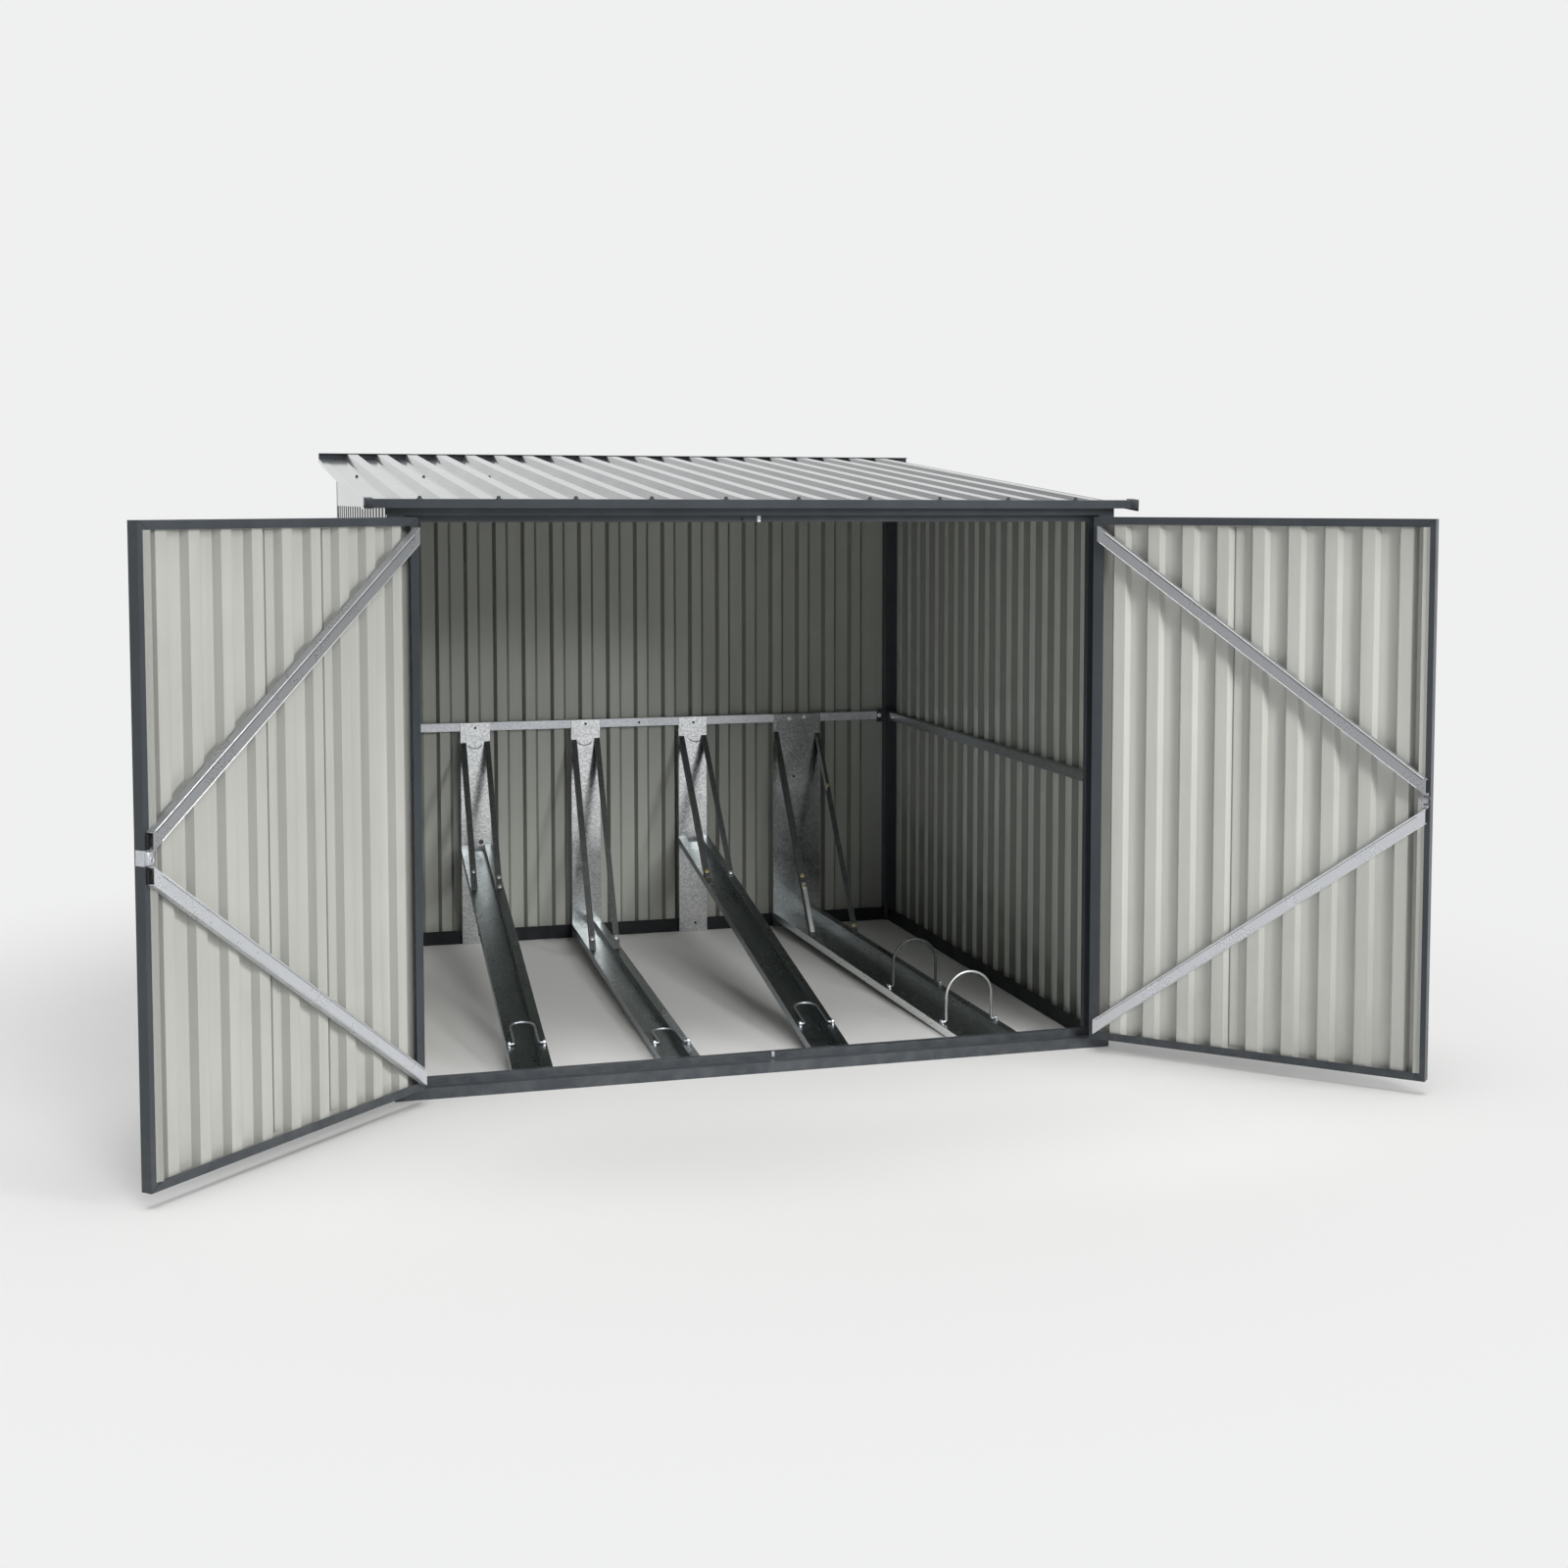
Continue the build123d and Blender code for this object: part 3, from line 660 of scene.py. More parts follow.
def makeBolt(name, spec):
    clearSelection()
    seat, rise = spec["washerHeight"], spec["headHeight"]
    bpy.ops.mesh.primitive_cylinder_add(
        vertices=14, radius=spec["washer"], depth=seat, location=(0, 0, seat / 2)
    )
    bolt = nameNew(name)
    openEdit(bolt)
    pickSide(bolt, 2)
    bpy.ops.mesh.bevel(offset=seat * 0.4, segments=1, affect="EDGES")
    bpy.ops.mesh.select_all(action="DESELECT")
    bpy.ops.mesh.primitive_cylinder_add(
        vertices=6, radius=spec["head"], depth=rise, location=(0, 0, seat + rise / 2)
    )
    pickFaces(bolt, lambda middle, normal: normal.z > 0.9 and middle.z > seat + rise - 0.0002)
    insetMove(spec["chamfer"] * 1.6, 0, 0, spec["chamfer"])
    closeEdit(bolt, 25)
    return bolt


def makeRivet(name, spec):
    clearSelection()
    bpy.ops.mesh.primitive_cylinder_add(
        vertices=12, radius=spec["radius"], depth=spec["height"], location=(0, 0, spec["height"] / 2)
    )
    rivet = nameNew(name)
    openEdit(rivet)
    pickSide(rivet, 2)
    insetMove(spec["radius"] * 0.45, 0, 0, spec["crown"])
    insetMove(spec["radius"] * 0.2, 0, 0, -spec["dimple"])
    closeEdit(rivet, 60)
    return rivet


boltPattern = makeBolt("boltPattern", boltSpec)
screwPattern = makeBolt("screwPattern", screwSpec)
rivetPattern = makeRivet("rivetPattern", rivetSpec)
print("fastener patterns modelled")

# places of the racks, as the part's source has them, in metres
rackSpec = {
    "middles": (-0.565, -0.165, 0.235, 0.635),
    "turns": (-2.5, -1.8, -0.6, 2.2),
    "rises": (0.335, 0.032, 0.335, 0.032),
    "rooms": (0.058, 0.058, 0.058, 0.134),
    "plateFront": 1.9805,
    "run": 1.9015,
    "lip": (0.028, 0.025),
    "strutReach": 0.450,
    "strutTop": 0.735,
    "strutInset": 0.015,
}


def toRow(rack, point):
    turn = Matrix.Rotation(math.radians(rackSpec["turns"][rack]), 3, "Z")
    return Vector((rackSpec["middles"][rack], rackSpec["plateFront"], 0)) + turn @ Vector(point)


def turnToRow(rack, direction):
    return Matrix.Rotation(math.radians(rackSpec["turns"][rack]), 3, "Z") @ Vector(direction)


def channelFall(rack):
    return math.atan2(rackSpec["rises"][rack], rackSpec["run"])


def onChannel(rack, across, up, along):
    # a point by its place across the channel, above its underside and along it from the plate
    fall = channelFall(rack)
    return Vector((
        across,
        -along * math.cos(fall) - up * math.sin(fall),
        rackSpec["rises"][rack] - along * math.sin(fall) + up * math.cos(fall),
    ))


# bails: round bar, bent and hooked into the eyelets
bailSpec = {
    "bar": {"narrow": 0.0037, "wide": 0.0045},
    "sides": 14,
    "height": 0.150,
    "stub": 0.017,
    "bend": 0.008,
    "seat": 0.006,
    "inset": 0.008,
    "setbacks": {0: (0.180,), 1: (0.180,), 2: (0.180,), 3: (0.180, 0.645)},
    "wideRacks": (3,),
}


def bailHalf(rack):
    return (rackSpec["rooms"][rack] + rackSpec["lip"][0]) / 2 - bailSpec["inset"]


def bailSpot(rack, across, setback):
    # on a bail's axis, by its place across and its distance from the channel's front end
    slopeLength = math.hypot(rackSpec["run"], rackSpec["rises"][rack])
    height = rackSpec["lip"][1] + bailSpec["seat"]
    return toRow(rack, onChannel(rack, across, height, slopeLength - setback))


def makeBail(name, half, bar, spec):
    # modelled in the xy plane: feet along x, the hoop rising towards +y
    clearSelection()
    bpy.ops.mesh.primitive_circle_add(
        vertices=spec["sides"], radius=bar, fill_type="NGON",
        location=(-half - spec["stub"], 0, 0), rotation=(0, math.pi / 2, 0),
    )
    bail = nameNew(name)
    openEdit(bail)
    bpy.ops.mesh.select_all(action="SELECT")
    bend = spec["bend"]
    rise = spec["height"] - half
    extrude(spec["stub"] - bend, 0, 0)
    sweepRound(5, math.pi / 2, (-half - bend, bend, 0), (0, 0, 1))
    extrude(0, rise - bend, 0)
    sweepRound(24, -math.pi, (0, rise, 0), (0, 0, 1))
    extrude(0, bend - rise, 0)
    sweepRound(5, math.pi / 2, (half + bend, bend, 0), (0, 0, 1))
    extrude(spec["stub"] - bend, 0, 0)
    closeEdit(bail, 50)
    return bail


for rack, setbacks in bailSpec["setbacks"].items():
    for order, setback in enumerate(setbacks):
        bodyName = f"rack_{rack + 1}_bail" if order == 0 else f"rack_{rack + 1}_second_bail"
        wide = rack in bailSpec["wideRacks"]
        bar = bailSpec["bar"]["wide" if wide else "narrow"]
        bail = makeBail(f"rack{rack + 1}Hoop{order + 1}", bailHalf(rack), bar, bailSpec)
        fall = channelFall(rack)
        up = Vector((0, -math.sin(fall), math.cos(fall)))
        back = Vector((0, math.cos(fall), math.sin(fall)))
        rise = turnToRow(rack, up if wide else back)
        across = turnToRow(rack, (1, 0, 0))
        stand = axesMatrix(across, rise, across.cross(rise))
        bail.data.transform(Matrix.Translation(bailSpot(rack, 0, setback)) @ stand)
        finish = zinc["rail"] if not wide else zinc["strut"] if order else zinc["bar"]
        dress(bail, finish, bodyName)
        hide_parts(bodyName)
print("bails bent")


# bolts and holes of the racks
fastenerSpec = {
    # rack, side and share of the way up the strut
    "brightOnStruts": (
        (0, -1, 0.12), (0, 1, 0.015), (0, 1, 0.075), (1, -1, 0.05), (1, 1, 0.05), (2, 1, 0.03),
    ),
    "yellowOnStruts": ((2, -1, 0.045), (3, -1, 0.29), (3, -1, 0.235), (3, 1, 0.725), (3, 1, 0.04)),
    # x and z
    "brightOnHeads": ((0.608, 0.788), (0.664, 0.791)),
    "holesOnHeads": ((-0.565, 0.786), (-0.165, 0.790), (0.237, 0.784)),
    "holesOnPlates": ((0.623, 0.569), (0.243, 0.032), (-0.557, 0.032)),
    "knob": (-0.548, 0.372),
    "holesOnRail": ((0.034, 0.789), (-0.768, 0.789)),
    "headFront": 1.9775,
    "railFront": 1.9835,
    "railEnds": 0.963,
    "sideRailFace": 0.9885,
    "sideRailEnds": (0.055, 1.890),
    "railMiddle": 0.790,
}


def strutLine(rack):
    fall = channelFall(rack)
    footHeight = rackSpec["rises"][rack] + rackSpec["lip"][1] * math.cos(fall)
    foot = Vector((0, -rackSpec["strutReach"], footHeight - rackSpec["strutReach"] * math.tan(fall)))
    return foot, Vector((0, 0, rackSpec["strutTop"]))


def strutMiddle(rack):
    return rackSpec["rooms"][rack] / 2 + rackSpec["lip"][0] - rackSpec["strutInset"]


def onStrut(rack, side, share):
    # a seat on the strut's front face, by its share of the way from the foot to the head
    foot, top = strutLine(rack)
    along = (top - foot).normalized()
    spot = foot.lerp(top, share) + Vector((side * strutMiddle(rack), 0, 0))
    face = Vector((0, -along.z, along.y))
    return standAt(toRow(rack, spot), turnToRow(rack, face), 0.3)


toFront = (0, -1, 0)
brightPlaces = [onStrut(*place) for place in fastenerSpec["brightOnStruts"]]
headY, railY, railZ = fastenerSpec["headFront"], fastenerSpec["railFront"], fastenerSpec["railMiddle"]
brightPlaces += [standAt((x, headY, z), toFront, 0.2) for x, z in fastenerSpec["brightOnHeads"]]
for side in (-1, 1):
    brightPlaces.append(standAt((side * fastenerSpec["railEnds"], railY, railZ), toFront))
    for y in fastenerSpec["sideRailEnds"]:
        brightPlaces.append(standAt((side * fastenerSpec["sideRailFace"], y, railZ), (-side, 0, 0)))
dress(scatter(boltPattern, "rackBolts", brightPlaces), zinc["bolt"], "shelter")
yellowPlaces = [onStrut(*place) for place in fastenerSpec["yellowOnStruts"]]
dress(scatter(boltPattern, "yellowBolts", yellowPlaces), zinc["yellow"], "shelter")
# the open holes are drawn as near-black rivet heads, as painted shade of the holes
holePlaces = [standAt((x, headY, z), toFront) for x, z in fastenerSpec["holesOnHeads"]]
holePlaces += [standAt((x, rackSpec["plateFront"], z), toFront) for x, z in fastenerSpec["holesOnPlates"]]
holePlaces += [standAt((x, railY, z), toFront) for x, z in fastenerSpec["holesOnRail"]]
dress(scatter(rivetPattern, "rackHoleShades", holePlaces), darkPaintAndShade, "shelter")
knobX, knobZ = fastenerSpec["knob"]
knobPlace = standAt((knobX, rackSpec["plateFront"], knobZ), toFront)
dress(scatter(boltPattern, "plateKnob", [knobPlace]), zinc["strut"], "shelter")

# dark angles that tie the rail ends to the rear corner posts
angleSpec = {
    "corner": (0.9885, 1.9835, 0.790),
    "legs": (0.036, 0.045),
    "wall": 0.0012,
    "height": 0.050,
    "rounding": 0.0004,
}


def makeCornerAngle(name, spec):
    x, y, z = spec["corner"]
    wall, (legX, legY) = spec["wall"], spec["legs"]
    angle = startBox(name, (legX, wall, spec["height"]), (x - legX / 2, y - wall / 2, z))
    openEdit(angle)
    pickSide(angle, 0)
    bpy.ops.transform.translate(value=(-wall, 0, 0))
    extrude(wall, 0, 0)
    pickFaces(angle, lambda middle, normal: normal.y < -0.9 and middle.x > x - wall)
    extrude(0, wall - legY, 0)
    bevelAll(spec["rounding"], 1)
    closeEdit(angle)
    return angle


rightAngle = makeCornerAngle("rightCornerAngle", angleSpec)
for angle in (rightAngle, mirrorCopy(rightAngle, "leftCornerAngle")):
    dress(angle, framePaint, "shelter")

# bright zinc strips along the front faces of the wide rack's struts, as painted reflection
reflectionStripSpec = {
    "rack": 3,
    "thickness": 0.0016,
    "bevel": 0.0004,
    "places": {
        "lowerReflectionStrip": {"side": -1, "shares": (0.02, 0.255), "width": 0.015, "shift": 0},
        "upperReflectionStrip": {"side": 1, "shares": (0.70, 0.97), "width": 0.007, "shift": -0.006},
    },
}


def makeReflectionStrip(name, rack, side, shares, width, shift):
    foot, top = strutLine(rack)
    start, end = foot.lerp(top, shares[0]), foot.lerp(top, shares[1])
    along = (top - foot).normalized()
    length = (end - start).length
    thickness = reflectionStripSpec["thickness"]
    reflectionStrip = roundedBox(name, (width, thickness, length), (0, thickness / 2, length / 2), reflectionStripSpec["bevel"])
    face = turnToRow(rack, (0, -along.z, along.y))
    stand = axesMatrix(turnToRow(rack, (-1, 0, 0)), face, turnToRow(rack, along))
    spot = start + Vector((side * strutMiddle(rack) + shift, 0, 0))
    reflectionStrip.data.transform(Matrix.Translation(toRow(rack, spot)) @ stand)
    return dress(reflectionStrip, zinc["bar"], "shelter")


for reflectionStripName, place in reflectionStripSpec["places"].items():
    makeReflectionStrip(reflectionStripName, reflectionStripSpec["rack"], **place)

# shallow arcs pressed into the wall plates under their heads
arcSpec = {
    "radius": 0.034,
    "bead": 0.0016,
    "flatten": 0.45,
    "middleHeight": 0.7455,
    "sweep": 100,
    "shifts": (-0.002, -0.004, 0.012),
}


def makeArc(name, middle, spec):
    clearSelection()
    sweep = math.radians(spec["sweep"])
    bpy.ops.mesh.primitive_circle_add(
        vertices=8, radius=spec["bead"], fill_type="NGON",
        location=(spec["radius"], 0, 0), rotation=(math.pi / 2, 0, 0),
    )
    arc = nameNew(name)
    sweepAll(arc, 14, sweep, (0, 0, 1))
    bpy.ops.mesh.select_all(action="SELECT")
    bpy.ops.transform.resize(value=(1, 1, spec["flatten"]))
    closeEdit(arc, 60)
    turn = Matrix.Rotation(math.pi / 2, 4, "X") @ Matrix.Rotation(-math.pi / 2 - sweep / 2, 4, "Z")
    arc.data.transform(Matrix.Translation(middle) @ turn)
    return arc


for rack, shift in enumerate(arcSpec["shifts"]):
    arcMiddle = (rackSpec["middles"][rack] + shift, rackSpec["plateFront"], arcSpec["middleHeight"])
    dress(makeArc(f"pressedArc{rack + 1}", arcMiddle, arcSpec), zinc["strut"], "shelter")

# saddle clips over the eyelets that the bails turn in
saddleSpec = {"inner": 0.0074, "wall": 0.0011, "width": 0.006, "flange": 0.005, "eyeletSpan": (0.010, 0.019)}


def makeSaddle(name, spec):
    # along x, standing on z = 0 with its arch about the axis at the bail's seat height
    clearSelection()
    outer = spec["inner"] + spec["wall"]
    bpy.ops.mesh.primitive_plane_add(size=1, location=(0, (spec["inner"] + outer) / 2, 0))
    saddle = nameNew(name, (spec["width"], spec["wall"], 1))
    sweepAll(saddle, 12, math.pi, (1, 0, 0))
    pickFaces(saddle, lambda middle, normal: abs(middle.z) < 0.0001)
    extrude(0, 0, -bailSpec["seat"] + spec["wall"])
    extrude(0, 0, -spec["wall"])
    for side in (-1, 1):
        foot = spec["wall"] - bailSpec["seat"]
        pickFaces(saddle, lambda middle, normal: normal.y * side > 0.9 and middle.z < foot)
        extrude(0, side * spec["flange"], 0)
    closeEdit(saddle, 40)
    return saddle


saddlePattern = makeSaddle("saddlePattern", saddleSpec)
saddlePlaces = []
for rack, setbacks in bailSpec["setbacks"].items():
    fall = channelFall(rack)
    up = turnToRow(rack, (0, -math.sin(fall), math.cos(fall)))
    across = turnToRow(rack, (1, 0, 0))
    stand = axesMatrix(across, up.cross(across), up)
    for setback in setbacks:
        for side in (-1, 1):
            reach = side * (bailHalf(rack) + sum(saddleSpec["eyeletSpan"]) / 2)
            saddlePlaces.append(Matrix.Translation(bailSpot(rack, reach, setback)) @ stand)
dress(scatter(saddlePattern, "bailSaddles", saddlePlaces), zinc["rail"], "shelter")
print("rack hardware placed")

# places on a door leaf, as the part's source has them: u along the leaf, v through it, z up
leafSpec = {
    "hinge": (-0.984, -0.037, 0),
    "width": 0.9815,
    "outerFace": 0.007,
    "innerFace": 0.037,
    "valleyFace": 0.0105,
    "bottom": 0.038,
    "top": 1.561,
    "stile": 0.032,
    "rail": 0.022,
    "lockHeight": 0.804,
    "hingeHeights": (0.25, 0.80, 1.35),
}
leafAlong = Vector((math.cos(doorTurn), -math.sin(doorTurn), 0))
leafStand = Matrix.Translation(leafSpec["hinge"]) @ axesMatrix(leafAlong, Vector(doorIn), Vector(upright))


def ontoLeaf(piece, side):
    piece.data.transform(leafStand)
    if side > 0:
        piece.data.transform(Matrix.Scale(-1, 4, (1, 0, 0)))
        piece.data.flip_normals()
    return piece


def onLeaf(side, point, axis, spin=0):
    place = leafStand @ Vector(point)
    way = leafStand.to_3x3() @ Vector(axis)
    if side > 0:
        place.x, way.x = -place.x, -way.x
    return standAt(place, way, spin)


leafBody = {-1: "left_door", 1: "right_door"}
leafName = {-1: "left", 1: "right"}

# laps where one door sheet lies over the next; the raised edge of each lap takes a dark grey paint as painted
# shade of the gap
lapSpec = {
    "width": 0.026,
    "rise": 0.0007,
    "edge": 0.0024,
    "edgeRise": 0.0022,
    "margin": 0.026,
    "left": (0.551, 0.346),
    "right": (0.4195,),
}


def makeLap(name, edge, side, spec):
    height = leafSpec["top"] - leafSpec["bottom"] - 2 * spec["margin"]
    middleHeight = (leafSpec["top"] + leafSpec["bottom"]) / 2
    way = -1 if side < 0 else 1
    lap = startBox(
        name, (spec["width"], spec["rise"], height),
        (edge + way * spec["width"] / 2, leafSpec["valleyFace"] + spec["rise"] / 2, middleHeight),
    )
    openEdit(lap)
    pickSide(lap, 0, -way)
    extrude(-way * spec["edge"], 0, 0)
    pickFaces(lap, lambda middle, normal: normal.y > 0.9 and (middle.x - edge) * -way > 0)
    extrude(0, spec["edgeRise"] - spec["rise"], 0)
    closeEdit(lap)
    dress(lap, sheetFinish[leafName[side] + "_door_sheet"], leafBody[side])
    lap.data.materials.append(lapShadeEdge)
    for polygon in lap.data.polygons:
        polygon.material_index = 1 if (polygon.center.x - edge) * -way > 0.0001 else 0
    return ontoLeaf(lap, side)


for side in (-1, 1):
    for order, edge in enumerate(lapSpec[leafName[side]]):
        makeLap(f"{leafName[side]}DoorLap{order + 1}", edge, side, lapSpec)

# weld beads along the mitred corners of the leaf frames
beadSpec = {"width": 0.0013, "proud": 0.0003}


def makeBeads(name, side, spec):
    beads = []
    length, deep = math.hypot(leafSpec["stile"], leafSpec["rail"]), spec["proud"] * 2
    for face in (leafSpec["outerFace"], leafSpec["innerFace"]):
        for endU, wayU in ((0, 1), (leafSpec["width"], -1)):
            for endZ, wayZ in ((leafSpec["bottom"], 1), (leafSpec["top"], -1)):
                bead = roundedBox(name, (length, deep, spec["width"]), (0, 0, 0), deep * 0.4)
                tilt = math.atan2(wayZ * leafSpec["rail"], wayU * leafSpec["stile"])
                middle = (endU + wayU * leafSpec["stile"] / 2, face, endZ + wayZ * leafSpec["rail"] / 2)
                bead.data.transform(Matrix.Translation(middle) @ Matrix.Rotation(-tilt, 4, "Y"))
                beads.append(bead)
    return ontoLeaf(dress(joinPieces(beads, name), darkPaintAndShade, leafBody[side]), side)


for side in (-1, 1):
    makeBeads(f"{leafName[side]}DoorMitres", side, beadSpec)

# rolled lips along both edges of each brace, in bright zinc as painted highlight, with a fine near-black line
# beside the upper one as painted shade
braceSpec = {
    "face": 0.059,
    "startU": 0.036,
    "endU": 0.958,
    "upper": (1.5018, 0.8539),
    "lower": (0.0895, 0.7539),
    "lipOffset": 0.0161,
    "lip": (0.0024, 0.0013),
    "shadeLineOffset": 0.0118,
    "shadeLine": (0.0011, 0.0003),
}


def makeBraceStrip(name, level, side, offset, section, finish):
    heights = braceSpec[level]
    width, proud = braceSpec[section]
    start = Vector((braceSpec["startU"], braceSpec["face"], heights[0]))
    end = Vector((braceSpec["endU"], braceSpec["face"], heights[1]))
    along = (end - start).normalized()
    across = Vector((along.z, 0, -along.x))
    if across.z < 0:
        across = -across
    rounding = min(width, proud * 2) * 0.3
    strip = roundedBox(name, ((end - start).length, proud * 2, width), (0, 0, 0), rounding, 2)
    stand = axesMatrix(along, across.cross(along), across)
    strip.data.transform(Matrix.Translation((start + end) / 2 + across * offset) @ stand)
    return ontoLeaf(dress(strip, finish, leafBody[side]), side)


for side in (-1, 1):
    for level in ("upper", "lower"):
        braceName = leafName[side] + level.title()
        for edge in (-1, 1):
            lipName = braceName + ("TopLip" if edge > 0 else "LowLip")
            makeBraceStrip(lipName, level, side, edge * braceSpec["lipOffset"], "lip", zinc["bar"])
        makeBraceStrip(braceName + "Seam", level, side, braceSpec["shadeLineOffset"], "shadeLine", darkPaintAndShade)

# flashing that carries the sheet over the inner half of the free stile
flashSpec = {"reach": 0.017, "rise": 0.0065, "foot": 0.0008}


def makeFlashing(name, side, spec):
    inner = leafSpec["width"] - leafSpec["stile"]
    low, high = leafSpec["bottom"] + leafSpec["rail"], leafSpec["top"] - leafSpec["rail"]
    flash = startBox(
        name, (spec["reach"], spec["foot"], high - low),
        (inner + spec["reach"] / 2, leafSpec["innerFace"] + spec["foot"] / 2, (low + high) / 2),
    )
    openEdit(flash)
    pickSide(flash, 1)
    bpy.ops.mesh.subdivide(number_cuts=1)
    mesh = bmesh.from_edit_mesh(flash.data)
    footMiddle = leafSpec["innerFace"] + spec["foot"] / 2
    for vertex in mesh.verts:
        vertex.select_set(vertex.co.y > footMiddle and vertex.co.x < inner + 0.0001)
    mesh.select_flush(True)
    bmesh.update_edit_mesh(flash.data)
    bpy.ops.transform.translate(value=(0, spec["rise"], 0))
    closeEdit(flash)
    return ontoLeaf(dress(flash, flashCoat[side], leafBody[side]), side)


for side in (-1, 1):
    makeFlashing(leafName[side] + "DoorFlashing", side, flashSpec)

# lock on the left leaf: a rounded case, a plate round the edge and a key barrel
lockSpec = {
    "case": (0.026, 0.010, 0.032),
    "rounding": 0.0022,
    "panelInset": 0.004,
    "panelRise": 0.0008,
    "plateHeight": 0.036,
    "plateReach": 0.024,
    "plateWall": 0.0014,
    "plateStop": 0.004,
    "plateRounding": 0.0003,
    "barrel": 0.0052,
    "barrelRise": 0.0016,
    "barrelDrop": 0.003,
    "barrelDish": 0.0006,
    "rivetInset": 0.0215,
    "rivetStep": 0.0125,
}


def makeLock(spec):
    width, inner, height = leafSpec["width"], leafSpec["innerFace"], leafSpec["lockHeight"]
    caseU, caseV = spec["case"][:2]
    caseFace = inner + caseV
    lock = startBox("doorLockCase", spec["case"], (width - caseU / 2, inner + caseV / 2, height))
    openEdit(lock)
    bevelAll(spec["rounding"], 3)
    pickFaces(lock, lambda middle, normal: normal.y > 0.99 and middle.y > caseFace - 0.0002)
    insetMove(spec["panelInset"], 0, spec["panelRise"], 0)
    bpy.ops.mesh.select_all(action="DESELECT")
    bpy.ops.mesh.primitive_cylinder_add(
        vertices=18, radius=spec["barrel"], depth=spec["barrelRise"] * 2, rotation=(math.pi / 2, 0, 0),
        location=(width - caseU / 2, caseFace + spec["panelRise"], height - spec["barrelDrop"]),
    )
    barrelLow = caseFace + spec["panelRise"] + 0.0005
    pickFaces(lock, lambda middle, normal: normal.y > 0.99 and middle.y > barrelLow)
    insetMove(spec["barrel"] * 0.25, 0, -spec["barrelDish"], 0)
    closeEdit(lock, 40)
    wall = spec["plateWall"]
    plate = startBox(
        "doorLockPlate", (spec["plateReach"], wall, spec["plateHeight"]),
        (width - spec["plateReach"] / 2, inner + wall / 2, height),
    )
    openEdit(plate)
    pickSide(plate, 0)
    extrude(wall, 0, 0)
    pickFaces(plate, lambda middle, normal: normal.y < -0.9 and middle.x > width)
    extrude(0, leafSpec["outerFace"] - inner + spec["plateStop"], 0)
    bevelAll(spec["plateRounding"], 1)
    closeEdit(plate)
    for piece in (lock, plate):
        dress(piece, zinc["rail"], "left_door")
        ontoLeaf(piece, -1)
    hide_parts("door_lock")
    rivets = []
    for step in (-spec["rivetStep"], spec["rivetStep"]):
        rivets.append(onLeaf(-1, (width - spec["rivetInset"], inner + wall, height + step), (0, 1, 0)))
    dress(scatter(rivetPattern, "doorLockRivets", rivets), zinc["bolt"], "left_door")


makeLock(lockSpec)

# dark latch levers on the free stile, above and below the lock
leverSpec = {
    "size": (0.013, 0.007, 0.034),
    "u": 0.971,
    "drops": (0.042, -0.037),
    "inset": 0.003,
    "dish": 0.002,
    "rounding": 0.0016,
}
leverV = leafSpec["innerFace"] + leverSpec["size"][1] / 2
for order, drop in enumerate(leverSpec["drops"]):
    leverPlace = (leverSpec["u"], leverV, leafSpec["lockHeight"] - drop)
    lever = startBox(f"latchLever{order + 1}", leverSpec["size"], leverPlace)
    openEdit(lever)
    bevelAll(leverSpec["rounding"], 2)
    pickFaces(lever, lambda middle, normal: normal.y > 0.99)
    insetMove(leverSpec["inset"], 0, -leverSpec["dish"], 0)
    closeEdit(lever, 40)
    ontoLeaf(dress(lever, darkPaintAndShade, "left_door"), -1)

# hook-shaped keep on the right leaf, on its own base plate
keepSpec = {
    "middle": (0.971, 0.806),
    "radius": 0.0115,
    "bar": (0.005, 0.004),
    "sweep": 250,
    "rounding": 0.0005,
    "base": (0.020, 0.0018, 0.040),
    "baseShift": 0.004,
    "baseRounding": 0.0006,
}


def makeKeep(spec):
    u, z = spec["middle"]
    inner = leafSpec["innerFace"]
    baseMiddle = (u - spec["baseShift"], inner + spec["base"][1] / 2, z)
    base = roundedBox("keepBase", spec["base"], baseMiddle, spec["baseRounding"], 2)
    barWide, barDeep = spec["bar"]
    clearSelection()
    bpy.ops.mesh.primitive_plane_add(size=1, location=(spec["radius"], 0, 0), rotation=(math.pi / 2, 0, 0))
    hook = nameNew("keepHook", (barWide, barDeep, 1))
    sweepAll(hook, 22, math.radians(spec["sweep"]), (0, 0, 1))
    closeEdit(hook, 40)
    bpy.ops.object.modifier_add(type="BEVEL")
    rounding = hook.modifiers[-1]
    rounding.width = spec["rounding"]
    rounding.segments = 2
    rounding.limit_method = "ANGLE"
    bpy.ops.object.modifier_apply(modifier=rounding.name)
    turn = Matrix.Rotation(math.pi / 2, 4, "X") @ Matrix.Rotation(-math.radians(spec["sweep"] / 2), 4, "Z")
    hook.data.transform(Matrix.Translation((u, inner + spec["base"][1] + barDeep / 2, z)) @ turn)
    for piece, finish in ((base, zinc["brace"]), (hook, zinc["strut"])):
        dress(piece, finish, "right_door")
        ontoLeaf(piece, 1)


makeKeep(keepSpec)

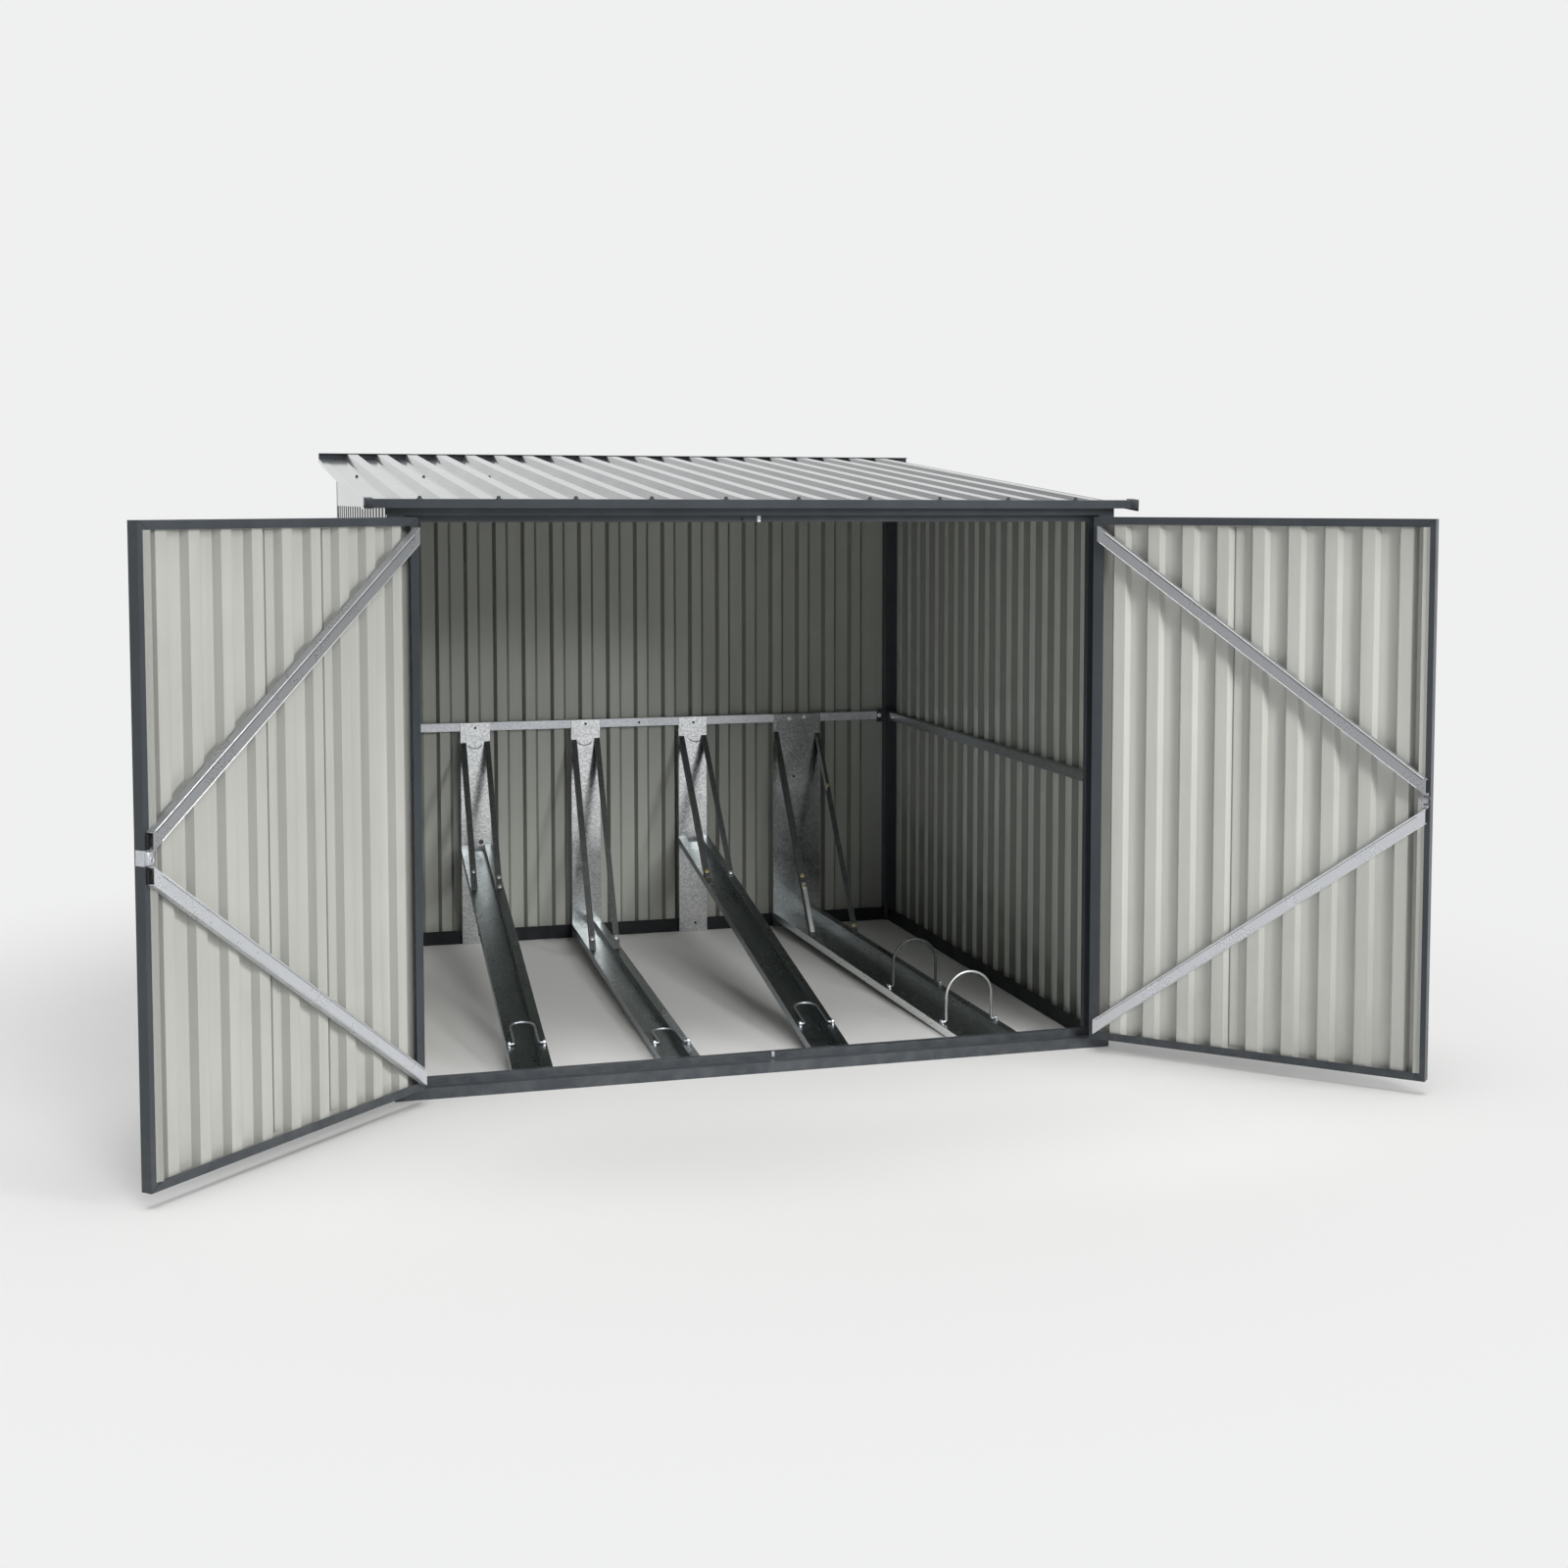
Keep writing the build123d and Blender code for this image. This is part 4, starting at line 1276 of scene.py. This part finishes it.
# screws in the hinge leaves, on the posts and on the doors
hingeSpec = {"steps": (0.012, 0.023), "drop": 0.020, "postFace": -0.033, "leafFace": 0.004, "scale": 0.62}
small = Matrix.Scale(hingeSpec["scale"], 4)
drop = hingeSpec["drop"]
for side in (-1, 1):
    postPlaces, leafPlaces = [], []
    for height in leafSpec["hingeHeights"]:
        for step in hingeSpec["steps"]:
            postX = side * (step - leafSpec["hinge"][0])
            postPlaces.append(standAt((postX, hingeSpec["postFace"], height - drop), toFront) @ small)
            leafPlaces.append(onLeaf(side, (step, hingeSpec["leafFace"], height + drop), toFront) @ small)
    postScrews = scatter(rivetPattern, f"{leafName[side]}PostScrews", postPlaces)
    dress(postScrews, zinc["bolt"], "shelter")
    hingeScrews = scatter(rivetPattern, f"{leafName[side]}HingeScrews", leafPlaces)
    dress(hingeScrews, zinc["bolt"], leafBody[side])
print("door hardware placed")

# catches under the header and on the sill where the leaves meet
catchSpec = {
    "header": {"size": (0.010, 0.0024, 0.014), "place": (-0.020, 0.0038, 1.5570), "hook": -1},
    "sill": {"size": (0.009, 0.0024, 0.012), "place": (0.019, 0.0038, 0.0420), "hook": 1},
}
hookSpec = {"inset": 0.0004, "lean": 0.0004, "rise": 0.003, "rounding": 0.0003}
headerRivetPlace = (-0.068, 0.005, 1.5545)
for catchName, spec in catchSpec.items():
    catch = startBox(catchName + "Catch", spec["size"], spec["place"])
    openEdit(catch)
    hook = spec["hook"]
    pickSide(catch, 2, hook)
    bpy.ops.mesh.inset(thickness=hookSpec["inset"])
    extrude(0, -hookSpec["lean"], hook * hookSpec["rise"])
    bevelAll(hookSpec["rounding"], 1)
    closeEdit(catch)
    dress(catch, zinc["rail"], "shelter")
headerRivets = [standAt(headerRivetPlace, toFront)]
dress(scatter(rivetPattern, "headerRivet", headerRivets), darkPaintAndShade, "shelter")

# places on the roof: x across, y to the rear, lift above the plane that the flats lie on
roofSpec = {"slope": 4.3, "front": -0.030, "height": 1.590, "flatTop": 0.0015, "capTop": 0.0215}
roofSlope = math.radians(roofSpec["slope"])
roofNormal = Vector((0, -math.sin(roofSlope), math.cos(roofSlope)))


def roofHeight(y):
    return roofSpec["height"] + (y - roofSpec["front"]) * math.tan(roofSlope)


def onRoof(x, y, lift):
    return standAt(Vector((x, y, roofHeight(y))) + roofNormal * lift, roofNormal, 0.5)


# rows of roof screws: first place across, step, count, place along the roof, lift and scale
roofRows = (
    (-0.953, 0.206, 10, -0.0605, roofSpec["capTop"], 1),
    (-1.030, 0.206, 11, 1.11, roofSpec["flatTop"], 0.7),
    (-1.030, 0.206, 11, 1.93, roofSpec["flatTop"], 0.7),
)
roofPlaces = []
for first, step, count, line, lift, scale in roofRows:
    for index in range(count):
        roofPlaces.append(onRoof(first + index * step, line, lift) @ Matrix.Scale(scale, 4))
dress(scatter(screwPattern, "roofScrews", roofPlaces), framePaint, "shelter")

# screws that hold the wall sheets, through the base rails and into the rails behind the grooves
wallScrewSpec = {
    "side": {"railFace": 1.035, "grooveFace": 1.015, "heights": (0.790, 1.562), "first": 0.1305},
    "rear": {"railFace": 2.030, "grooveFace": 2.010, "heights": (0.790, 1.715), "first": -0.8755},
}
wallRow = {"step": 0.206, "count": 9, "baseHeight": 0.030}
wallPlaces = []
for wall, spec in wallScrewSpec.items():
    spots = [(spec["railFace"], wallRow["baseHeight"])]
    spots += [(spec["grooveFace"], height) for height in spec["heights"]]
    for index in range(wallRow["count"]):
        along = spec["first"] + index * wallRow["step"]
        for face, height in spots:
            if wall == "rear":
                wallPlaces.append(standAt((along, face, height), (0, 1, 0)))
            else:
                for side in (-1, 1):
                    wallPlaces.append(standAt((side * face, along, height), (side, 0, 0)))
dress(scatter(screwPattern, "wallScrews", wallPlaces), framePaint, "shelter")

# closed ends of the eave channel
eaveEndSpec = {
    "length": 0.022,
    "size": (0.040, 0.0275),
    "rounding": 0.0012,
    "notch": 0.004,
    "notchInset": 0.005,
    "outer": 1.095,
    "line": -0.067,
    "overlap": 0.0035,
    "lift": 0.0098,
}


def makeEaveEnd(spec):
    depth, height = spec["size"]
    middleX = spec["outer"] - spec["length"] / 2
    cap = startBox("rightEaveEnd", (spec["length"], depth, height), (middleX, 0, 0))
    openEdit(cap)
    pickSide(cap, 2, -1)
    insetMove(spec["notchInset"], 0, 0, spec["notch"])
    bevelAll(spec["rounding"])
    closeEdit(cap)
    onEave = Matrix.Translation((0, depth / 2 - spec["overlap"], spec["lift"]))
    eave = Matrix.Translation((0, spec["line"], roofHeight(spec["line"])))
    cap.data.transform(eave @ Matrix.Rotation(roofSlope, 4, "X") @ onEave)
    return cap


rightEnd = makeEaveEnd(eaveEndSpec)
leftEnd = mirrorCopy(rightEnd, "leftEaveEnd")
for cap in (rightEnd, leftEnd):
    dress(cap, framePaint, "shelter")
print("roof and wall hardware placed")

for pattern in (boltPattern, screwPattern, rivetPattern, saddlePattern):
    bpy.data.objects.remove(pattern)
